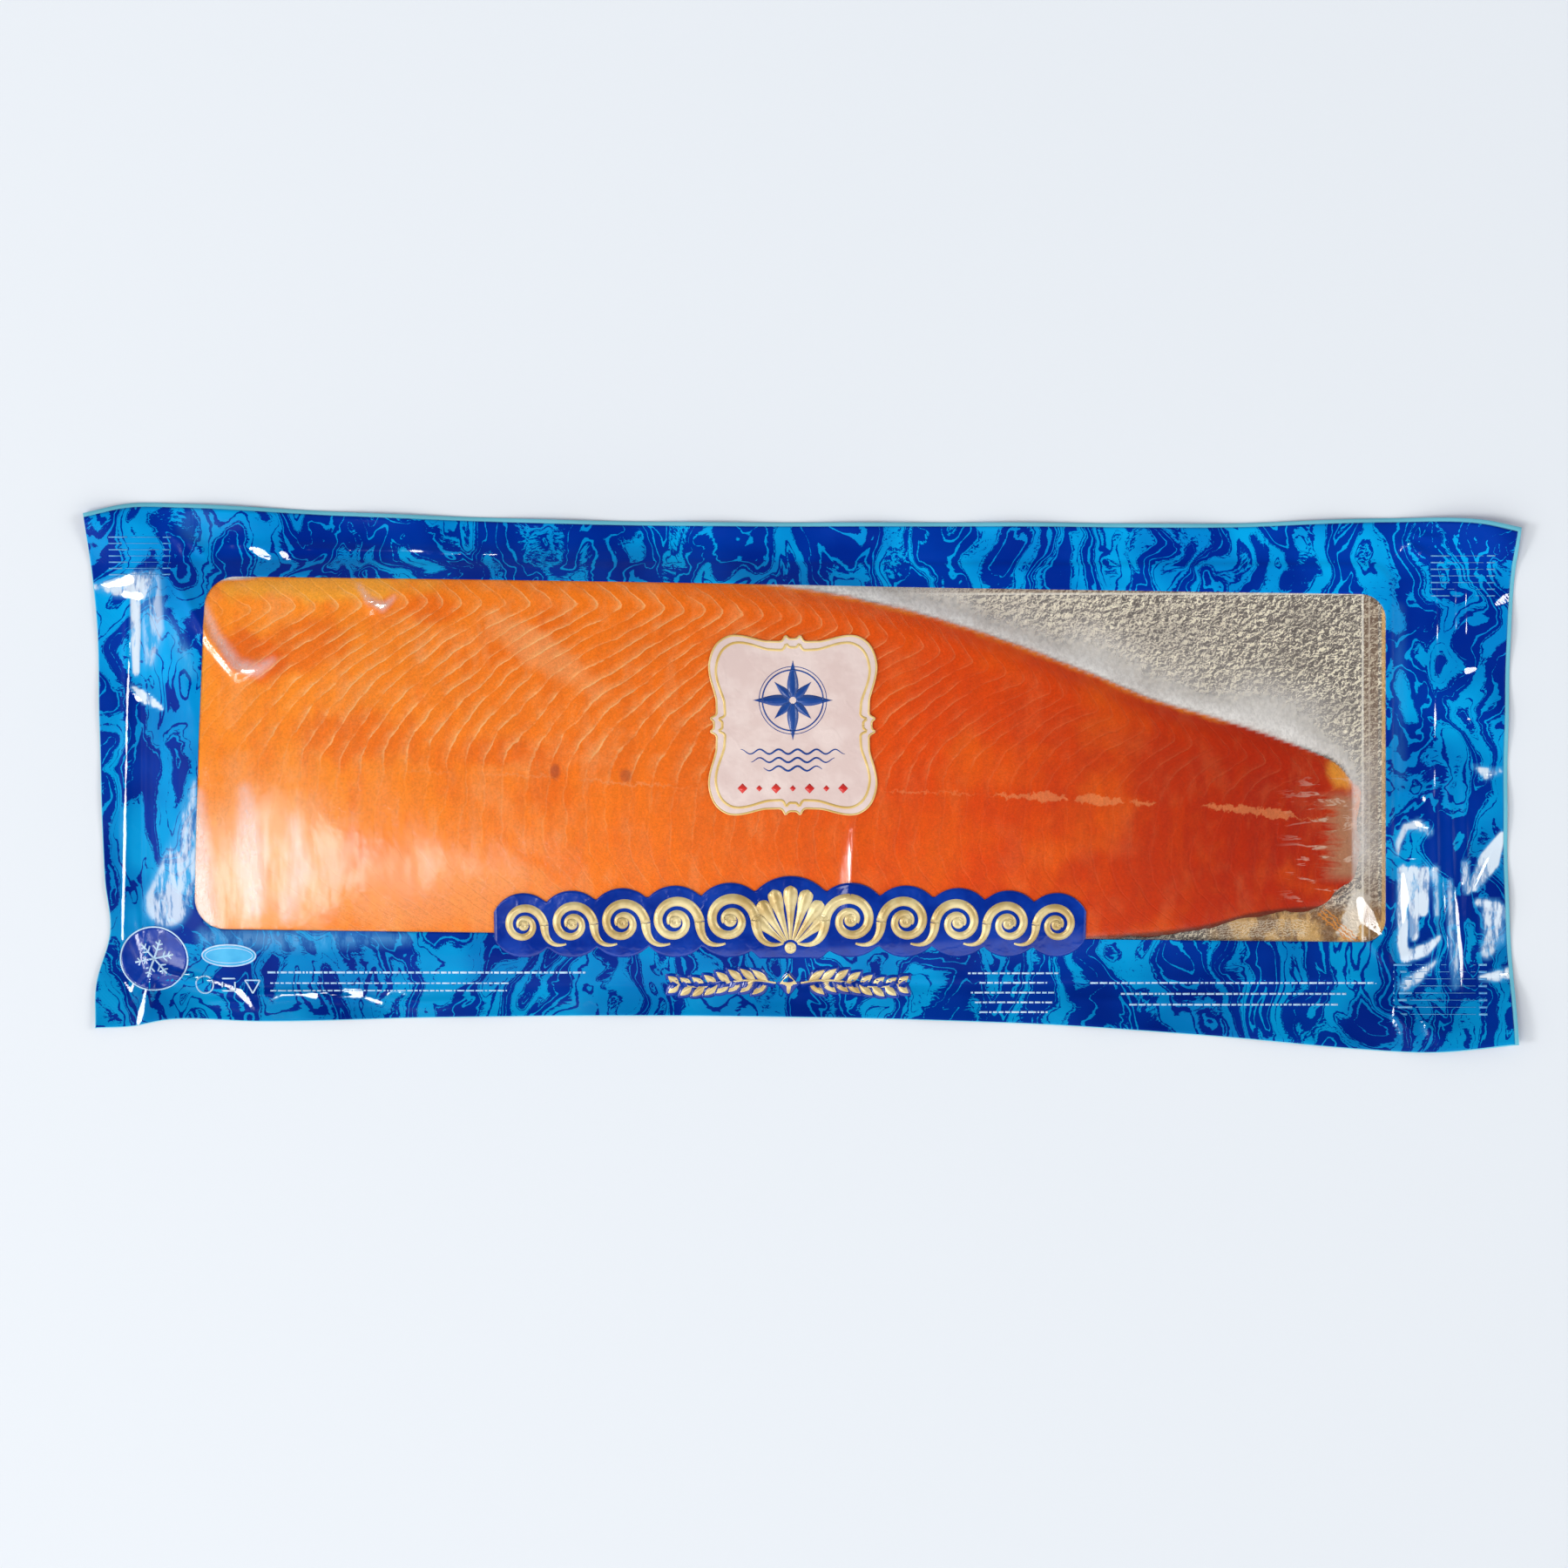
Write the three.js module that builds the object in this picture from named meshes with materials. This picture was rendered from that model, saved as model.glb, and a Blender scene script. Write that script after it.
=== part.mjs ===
// A side of smoked salmon on a card board, sealed in a vacuum pouch with a clear window, lying with its window up.
// The shut pouch and all that it holds is one solid: the film clings to the fish, bridges down to the board,
// and steps down again to the flat seals round it. Millimetres, +Z up. The origin is the middle of the footprint,
// on the surface that the pack lies on. +X runs from the thick end of the fish to its tail.
import * as THREE from "three";

// Pouch: a flat bag of 250 by 690, drawn in by the vacuum and flared at its corners
const bagHalfLength = 346;
const bagHalfWidth = 126;
const filmDrop = 6; // how far from the board the film meets the seals
const sealThickness = 0.8;
const cornerLift = 5; // how high the free corners of the seals curl
const sealWave = 1.6; // height of the ripples along the seals
const sealWaveLength = 74;
const sealWaveSlant = 1.7; // how many times faster the ripples follow one another across the bag than along it
const cornerReach = 1.5; // how far past the seals' width the curl goes on growing at a corner

// The bag's four edges: [station along the edge, distance from the middle]
const farEdge = curve([
  [-346, 127.5], [-324, 132.3], [-300, 132.2], [-219, 128.1], [-93, 123.9],
  [117, 123.1], [201, 122.6], [285, 125.2], [327, 124.3], [346, 120.5],
]);
const nearEdge = curve([
  [-346, -120.5], [-324, -119.7], [-303, -116.3], [-261, -117.4], [-176, -115.5], [-50, -114.8],
  [117, -118.9], [201, -124.7], [285, -131.9], [306, -132.3], [346, -128.5],
]);
const headEdge = curve([
  [-126, -340.4], [-99, -340], [-74, -333.5], [-49, -336], [26, -338.7], [77, -340], [126, -346],
]);
const tailEdge = curve([
  [-126, 345], [-62, 340.8], [-11, 340], [39, 340.8], [77, 342], [126, 346.3],
]);

// Board: metallised card of 600 by 200 under the fish
const boardHead = -316;
const boardTail = 284;
const boardNear = -97.5;
const boardFar = 102.5;
const boardTop = 2;
const boardCorner = 12;

// Fish: [station along the pack, value]
const fishHead = -304;
const fishTail = 268;
const fishCorner = 16;
const farSide = curve([
  [-304, 93], [-250, 98], [-150, 100], [-60, 97.5], [4, 91], [47, 82.3], [89, 69.8],
  [139, 51], [171, 38], [224, 24], [268, 8],
]);
const nearSide = curve([
  [-304, -80], [-250, -86], [-150, -89], [0, -86], [134, -78], [190, -73], [219, -66], [268, -62],
]);
const crownHeight = curve([
  [-304, 15], [-255, 21], [-150, 24], [0, 22], [120, 17], [200, 12], [268, 6],
]);
const rimShare = 0.42; // height of the fish's rounded rim, as a share of its crown
const rimRound = 9; // how far in from its outline the rim is rounded over
const crownShift = 0.16; // how far the crown lies towards the back of the fish, as a share of half its width
const crownFullness = 2.4; // 2 is a plain arch across the fish, and more is flatter on top
const bridge = 19; // how far the film spans from the fish's rim to the board

// Grid of the film: the steps over the board, then over the seals at the head, tail, near and far sides
const boardSteps = [80, 27];
const headSteps = 4;
const tailSteps = 8;
const nearSteps = 4;
const farSteps = 3;

// A smooth line through the points, as a function of the station.
function curve(points) {
  const stations = points.map((point) => point[0]);
  const values = points.map((point) => point[1]);
  const line = new THREE.CubicInterpolant(stations, values, 1);
  return (station) => line.evaluate(station)[0];
}

// How far a point is inside a rounded box, given how far it is from the box's ends and sides. Negative is outside.
function insideRounded(fromEnds, fromSides, radius) {
  const alongX = radius - fromEnds;
  const alongY = radius - fromSides;
  const past = Math.hypot(Math.max(alongX, 0), Math.max(alongY, 0));
  return radius - past - Math.min(Math.max(alongX, alongY), 0);
}

function insideFish(x, y) {
  const fromSides = Math.min(farSide(x) - y, y - nearSide(x));
  const fromEnds = Math.min(x - fishHead, fishTail - x);
  return insideRounded(fromEnds, fromSides, fishCorner);
}

function insideBoard(x, y) {
  const fromSides = Math.min(boardFar - y, y - boardNear);
  const fromEnds = Math.min(x - boardHead, boardTail - x);
  return insideRounded(fromEnds, fromSides, boardCorner);
}

// Height of the fish's crown over the board, at its full height along a line towards its back.
function crownOver(x, y) {
  const middle = (farSide(x) + nearSide(x)) / 2;
  const half = (farSide(x) - nearSide(x)) / 2;
  const across = (y - middle) / half - crownShift;
  const fall = Math.min(Math.abs(across) / (1 + crownShift), 1) ** crownFullness;
  return crownHeight(x) * (1 - (1 - rimShare) * fall);
}

// Height of the film over the board: round over the rim on the fish, and drawn down in a hollow curve beside it.
function fishRise(x, y) {
  const inside = insideFish(x, y);
  const rim = crownHeight(x) * rimShare;
  if (inside < 0) return rim * Math.max(1 + inside / bridge, 0) ** 2;
  const round = Math.min(inside / rimRound, 1);
  return rim + (crownOver(x, y) - rim) * Math.sqrt(1 - (1 - round) ** 2);
}

// The seals curl up towards the bag's edges, most at its corners, and ripple along them.
function sealLift(x, y) {
  const pastEnds = Math.max(boardHead - x, x - boardTail, 0) / (bagHalfLength - boardTail);
  const pastSides = Math.max(boardNear - y, y - boardFar, 0) / (bagHalfWidth - boardFar);
  const out = Math.min(Math.hypot(pastEnds, pastSides), cornerReach);
  const corner = Math.min(pastEnds, 1) * Math.min(pastSides, 1);
  const ripple = 0.5 + 0.5 * Math.sin((2 * Math.PI * (x + y * sealWaveSlant)) / sealWaveLength);
  return sealWave * Math.min(out, 1) * ripple + cornerLift * corner;
}

function filmTop(x, y) {
  const seal = sealLift(x, y) + sealThickness;
  const past = Math.max(-insideBoard(x, y), 0);
  const step = boardTop * Math.max(1 - past / filmDrop, 0) ** 2;
  return Math.max(seal, step) + fishRise(x, y);
}

// Where a grid point lies: straight over the board, and stretched to the bag's edge beyond it.
function place(p, q) {
  let x = p;
  let y = q;
  if (p < boardHead) x = mix(boardHead, headEdge(q), (boardHead - p) / (boardHead + bagHalfLength));
  if (p > boardTail) x = mix(boardTail, tailEdge(q), (p - boardTail) / (bagHalfLength - boardTail));
  if (q < boardNear) y = mix(boardNear, nearEdge(p), (boardNear - q) / (boardNear + bagHalfWidth));
  if (q > boardFar) y = mix(boardFar, farEdge(p), (q - boardFar) / (bagHalfWidth - boardFar));
  return [x, y];
}

function mix(from, to, share) {
  return from + (to - from) * share;
}

// Stations from one value to another, without the last.
function stations(from, to, steps) {
  return Array.from({ length: steps }, (_, k) => mix(from, to, k / steps));
}

function makePouch() {
  const columns = [
    ...stations(-bagHalfLength, boardHead, headSteps),
    ...stations(boardHead, boardTail, boardSteps[0]),
    ...stations(boardTail, bagHalfLength, tailSteps),
    bagHalfLength,
  ];
  const rows = [
    ...stations(-bagHalfWidth, boardNear, nearSteps),
    ...stations(boardNear, boardFar, boardSteps[1]),
    ...stations(boardFar, bagHalfWidth, farSteps),
    bagHalfWidth,
  ];
  const positions = [];
  const faces = [];
  const rowCount = rows.length;
  const topAt = (i, j) => i * rowCount + j;
  const underAt = (i, j) => columns.length * rowCount + topAt(i, j);
  const quad = (a, b, c, d) => faces.push(a, b, c, a, c, d);

  for (const height of [filmTop, sealLift]) {
    for (const p of columns) {
      for (const q of rows) {
        const [x, y] = place(p, q);
        positions.push(x, y, height(x, y));
      }
    }
  }

  const lastColumn = columns.length - 1;
  const lastRow = rowCount - 1;
  const overBoard = (i, j) =>
    i >= headSteps && i < headSteps + boardSteps[0] && j >= nearSteps && j < nearSteps + boardSteps[1];
  for (let i = 0; i < lastColumn; i += 1) {
    for (let j = 0; j < lastRow; j += 1) {
      quad(topAt(i, j), topAt(i + 1, j), topAt(i + 1, j + 1), topAt(i, j + 1));
      if (!overBoard(i, j)) {
        quad(underAt(i, j), underAt(i, j + 1), underAt(i + 1, j + 1), underAt(i + 1, j));
      }
    }
  }

  // The edge of the bag
  for (let i = 0; i < lastColumn; i += 1) {
    quad(underAt(i, 0), underAt(i + 1, 0), topAt(i + 1, 0), topAt(i, 0));
    quad(underAt(i + 1, lastRow), underAt(i, lastRow), topAt(i, lastRow), topAt(i + 1, lastRow));
  }
  for (let j = 0; j < lastRow; j += 1) {
    quad(underAt(0, j + 1), underAt(0, j), topAt(0, j), topAt(0, j + 1));
    quad(underAt(lastColumn, j), underAt(lastColumn, j + 1), topAt(lastColumn, j + 1), topAt(lastColumn, j));
  }

  // The flat underside of the board, inside the last seal faces
  const endColumn = headSteps + boardSteps[0];
  const endRow = nearSteps + boardSteps[1];
  const ring = [];
  for (let i = headSteps; i < endColumn; i += 1) ring.push([i, nearSteps]);
  for (let j = nearSteps; j < endRow; j += 1) ring.push([endColumn, j]);
  for (let i = endColumn; i > headSteps; i -= 1) ring.push([i, endRow]);
  for (let j = endRow; j > nearSteps; j -= 1) ring.push([headSteps, j]);
  const outline = ring.map(([i, j]) => new THREE.Vector2(columns[i], rows[j]));
  for (const [a, b, c] of THREE.ShapeUtils.triangulateShape(outline, [])) {
    const [u, v, w] = [a, b, c].map((k) => underAt(...ring[k]));
    faces.push(u, w, v);
  }

  const used = [...new Set(faces)].sort((a, b) => a - b);
  const renumbered = new Map(used.map((old, k) => [old, k]));
  const geometry = new THREE.BufferGeometry();
  const kept = used.flatMap((k) => positions.slice(3 * k, 3 * k + 3));
  geometry.setAttribute("position", new THREE.Float32BufferAttribute(kept, 3));
  geometry.setIndex(faces.map((k) => renumbered.get(k)));
  geometry.computeVertexNormals();
  const film = new THREE.MeshStandardMaterial({ color: 0x0a55b4, roughness: 0.2, metalness: 0 });
  const mesh = new THREE.Mesh(geometry, film);
  mesh.name = "pouch";
  return mesh;
}

const pack = new THREE.Group();
pack.add(makePouch());
export default pack;
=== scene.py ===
# A side of smoked salmon on a card board, sealed in a vacuum pouch with a clear window, lying with its
# window up. The dictionaries and lists hold millimetres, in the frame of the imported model: +X runs from the
# thick end of the fish to its tail, +Z is up, and the origin is the middle of the footprint. The shaders
# take metres.
import bpy
import math
import numpy as np
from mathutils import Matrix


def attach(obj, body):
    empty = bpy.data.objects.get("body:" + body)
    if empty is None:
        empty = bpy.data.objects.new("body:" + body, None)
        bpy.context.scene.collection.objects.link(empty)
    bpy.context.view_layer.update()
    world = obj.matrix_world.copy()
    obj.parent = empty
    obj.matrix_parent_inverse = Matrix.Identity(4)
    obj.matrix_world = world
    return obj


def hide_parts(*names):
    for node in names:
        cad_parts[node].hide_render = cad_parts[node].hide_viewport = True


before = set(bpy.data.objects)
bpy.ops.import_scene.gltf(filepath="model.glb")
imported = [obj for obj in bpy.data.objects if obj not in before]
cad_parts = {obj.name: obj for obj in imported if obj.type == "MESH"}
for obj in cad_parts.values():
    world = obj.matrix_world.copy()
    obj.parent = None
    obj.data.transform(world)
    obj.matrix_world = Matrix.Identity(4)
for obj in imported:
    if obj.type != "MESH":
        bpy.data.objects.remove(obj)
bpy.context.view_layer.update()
mm = 0.001


# Numbers and colours

def smoothLine(points):
    # a smooth line through the points, as a function of the station
    stations, values = np.array(points, float).T
    secants = np.diff(values) / np.diff(stations)
    slopes = np.concatenate([secants[:1], (secants[1:] + secants[:-1]) / 2, secants[-1:]])

    def valueAt(station):
        k = np.clip(np.searchsorted(stations, station, "right") - 1, 0, len(stations) - 2)
        width = stations[k + 1] - stations[k]
        p = np.clip((station - stations[k]) / width, 0, 1)
        start = values[k] * (1 + 2 * p) * (1 - p) ** 2 + slopes[k] * width * p * (1 - p) ** 2
        end = values[k + 1] * p ** 2 * (3 - 2 * p) + slopes[k + 1] * width * p ** 2 * (p - 1)
        return start + end

    return valueAt


def mix(start, end, share):
    return start + (end - start) * share


def smoothStep(low, high, value):
    share = np.clip((value - low) / (high - low), 0, 1)
    return share * share * (3 - 2 * share)


def softNoise(x, y, size, seed):
    # smooth random heights from -1 to 1, one draw for each square of the given size
    lattice = np.random.default_rng(seed).uniform(-1, 1, (256, 256))
    u = x / size + 100.5
    v = y / size + 100.5
    i = np.floor(u).astype(int)
    j = np.floor(v).astype(int)
    p = u - i
    q = v - j
    p = p * p * (3 - 2 * p)
    q = q * q * (3 - 2 * q)
    low = mix(lattice[i % 256, j % 256], lattice[(i + 1) % 256, j % 256], p)
    high = mix(lattice[i % 256, (j + 1) % 256], lattice[(i + 1) % 256, (j + 1) % 256], p)
    return mix(low, high, q)


def colour(red, green, blue):
    # a screen colour of 0 to 255 as a linear one
    shares = [value / 255 for value in (red, green, blue)]
    return tuple(s / 12.92 if s <= 0.04045 else ((s + 0.055) / 1.055) ** 2.4 for s in shares) + (1,)


# The form of the pack, as in the part's source

bag = {
    "halfLength": 346,
    "halfWidth": 126,
    "filmDrop": 6,
    "seal": 0.8,
    "cornerLift": 5,
    "wave": 1.6,
    "waveLength": 74,
    "waveSlant": 1.7,
    "cornerReach": 1.5,
    "farEdge": smoothLine([
        (-346, 127.5), (-324, 132.3), (-300, 132.2), (-219, 128.1), (-93, 123.9),
        (117, 123.1), (201, 122.6), (285, 125.2), (327, 124.3), (346, 120.5),
    ]),
    "nearEdge": smoothLine([
        (-346, -120.5), (-324, -119.7), (-303, -116.3), (-261, -117.4), (-176, -115.5), (-50, -114.8),
        (117, -118.9), (201, -124.7), (285, -131.9), (306, -132.3), (346, -128.5),
    ]),
    "headEdge": smoothLine([
        (-126, -340.4), (-99, -340), (-74, -333.5), (-49, -336), (26, -338.7), (77, -340), (126, -346),
    ]),
    "tailEdge": smoothLine([
        (-126, 345), (-62, 340.8), (-11, 340), (39, 340.8), (77, 342), (126, 346.3),
    ]),
}

board = {
    "head": -316,
    "tail": 284,
    "near": -97.5,
    "far": 102.5,
    "filmHeight": 2,
    "corner": 12,
}

fish = {
    "head": -304,
    "tail": 268,
    "corner": 16,
    "farSide": smoothLine([
        (-304, 93), (-250, 98), (-150, 100), (-60, 97.5), (4, 91), (47, 82.3), (89, 69.8),
        (139, 51), (171, 38), (224, 24), (268, 8),
    ]),
    "nearSide": smoothLine([
        (-304, -80), (-250, -86), (-150, -89), (0, -86), (134, -78), (190, -73), (219, -66), (268, -62),
    ]),
    "crown": smoothLine([(-304, 15), (-255, 21), (-150, 24), (0, 22), (120, 17), (200, 12), (268, 6)]),
    "rimShare": 0.42,
    "rimRound": 9,
    "crownShift": 0.16,
    "crownFullness": 2.4,
    "bridge": 19,
}


def insideRounded(fromEnds, fromSides, radius):
    alongX = radius - fromEnds
    alongY = radius - fromSides
    past = np.hypot(np.maximum(alongX, 0), np.maximum(alongY, 0))
    return radius - past - np.minimum(np.maximum(alongX, alongY), 0)


def insideFish(x, y):
    fromSides = np.minimum(fish["farSide"](x) - y, y - fish["nearSide"](x))
    fromEnds = np.minimum(x - fish["head"], fish["tail"] - x)
    return insideRounded(fromEnds, fromSides, fish["corner"])


def insideBoard(x, y):
    fromSides = np.minimum(board["far"] - y, y - board["near"])
    fromEnds = np.minimum(x - board["head"], board["tail"] - x)
    return insideRounded(fromEnds, fromSides, board["corner"])


def crownOver(x, y):
    middle = (fish["farSide"](x) + fish["nearSide"](x)) / 2
    half = (fish["farSide"](x) - fish["nearSide"](x)) / 2
    across = (y - middle) / half - fish["crownShift"]
    fall = np.minimum(np.abs(across) / (1 + fish["crownShift"]), 1) ** fish["crownFullness"]
    return fish["crown"](x) * (1 - (1 - fish["rimShare"]) * fall)


def fishRise(x, y):
    inside = insideFish(x, y)
    rim = fish["crown"](x) * fish["rimShare"]
    beside = rim * np.clip(1 + inside / fish["bridge"], 0, 1) ** 2
    share = np.clip(inside / fish["rimRound"], 0, 1)
    over = rim + (crownOver(x, y) - rim) * np.sqrt(1 - (1 - share) ** 2)
    return np.where(inside < 0, beside, over)


def sealLift(x, y):
    offEnds = np.maximum(np.maximum(board["head"] - x, x - board["tail"]), 0)
    offSides = np.maximum(np.maximum(board["near"] - y, y - board["far"]), 0)
    pastEnds = offEnds / (bag["halfLength"] - board["tail"])
    pastSides = offSides / (bag["halfWidth"] - board["far"])
    out = np.minimum(np.hypot(pastEnds, pastSides), bag["cornerReach"])
    corner = np.minimum(pastEnds, 1) * np.minimum(pastSides, 1)
    ripple = 0.5 + 0.5 * np.sin(2 * np.pi * (x + y * bag["waveSlant"]) / bag["waveLength"])
    return bag["wave"] * np.minimum(out, 1) * ripple + bag["cornerLift"] * corner


def filmTop(x, y):
    seal = sealLift(x, y) + bag["seal"]
    past = np.maximum(-insideBoard(x, y), 0)
    step = board["filmHeight"] * np.maximum(1 - past / bag["filmDrop"], 0) ** 2
    return np.maximum(seal, step) + fishRise(x, y)


def placeInBag(u, v, inset):
    # shares of -1 to 1 along and across the bag, stretched to its edges past the board
    p = u * bag["halfLength"]
    q = v * bag["halfWidth"]
    toHead = (board["head"] - p) / (board["head"] + bag["halfLength"])
    toTail = (p - board["tail"]) / (bag["halfLength"] - board["tail"])
    toNear = (board["near"] - q) / (board["near"] + bag["halfWidth"])
    toFar = (q - board["far"]) / (bag["halfWidth"] - board["far"])
    x = np.where(p < board["head"], mix(board["head"], bag["headEdge"](q) + inset["head"], toHead), p)
    x = np.where(p > board["tail"], mix(board["tail"], bag["tailEdge"](q) - inset["tail"], toTail), x)
    y = np.where(q < board["near"], mix(board["near"], bag["nearEdge"](p) + inset["near"], toNear), q)
    y = np.where(q > board["far"], mix(board["far"], bag["farEdge"](p) - inset["far"], toFar), y)
    return x, y


# Folds and gathers in the film: the height of each, how wide it is, and its path

folds = [
    (2.2, 2.6, [(-303, 98), (-292, 81), (-283, 66), (-270, 50), (-259, 55)]),
    (1.6, 2.4, [(-208, 86), (-205, 81), (-199, 82)]),
    (1.1, 3.2, [(27, -18), (24, -42), (21, -70)]),
    (2.4, 2.2, [(-313, -92), (-290, -98), (-268, -104.6)]),
    (2.2, 2.4, [(-313, -92), (-315, -106), (-317.5, -120)]),
    (1.5, 2.2, [(-313, -92), (-318, -99), (-322, -106)]),
    (1.2, 2.6, [(-313, -92), (-318, -80), (-321, -60)]),
    (1.4, 2, [(-268, -104.6), (-240, -104), (-204, -107.5)]),
    (1.2, 2.2, [(-285, -107), (-262, -109)]),
    (0.9, 2.2, [(-204, -106), (-182, -108), (-150, -106)]),
    (2, 2.2, [(-300, 117), (-292, 112), (-285, 106)]),
    (1.6, 2, [(-306, 120), (-299, 113), (-296, 105)]),
    (1.3, 2.2, [(-290, 112.5), (-240, 110.5), (-200, 108.6), (-151, 108)]),
    (1.5, 2, [(-324.5, 100), (-325.5, 60), (-326.5, 0), (-327.4, -75)]),
    (0.8, 1.9, [(-319, 96), (-320, 74), (-320, 50)]),
    (0.7, 1.9, [(-314, 98), (-315, 78), (-315, 58)]),
    (0.7, 1.9, [(-309, 102), (-309, 84)]),
    (0.9, 4, [(-302, 62), (-290, 30), (-287, 0)]),
    (0.9, 4.5, [(-303, 20), (-296, -20), (-300, -62)]),
    (1.3, 2, [(305, 8), (305.5, -40), (305, -95)]),
    (1.2, 2, [(312, 6), (313, -40), (314, -100)]),
    (1, 1.9, [(319, 0), (320, -40), (321, -92)]),
    (1.3, 2.2, [(286, -6), (297, -7), (304, -4)]),
    (1.4, 2.2, [(288, -88), (298, -82), (306, -73)]),
    (1.6, 2, [(288, 114), (296, 110), (303, 105)]),
    (1.3, 1.9, [(293, 118), (300, 116), (309, 115)]),
    (1.8, 2, [(284, -112), (291, -119), (295, -124)]),
    (1.4, 1.9, [(296, -116), (303, -122), (309, -126)]),
    (1.3, 2.4, [(268, -70), (277, -82), (288, -96)]),
    (0.5, 1.3, [(285.5, 118), (287.8, 60), (288.2, 0), (287.5, -84), (286, -118)]),
    (0.5, 3, [(-120, 107.5), (-30, 107), (70, 107.5)]),
    (0.6, 2.6, [(-60, -104), (20, -103.5), (100, -105)]),
    (0.8, 2.4, [(130, -106), (170, -108), (215, -106)]),
]

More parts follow.
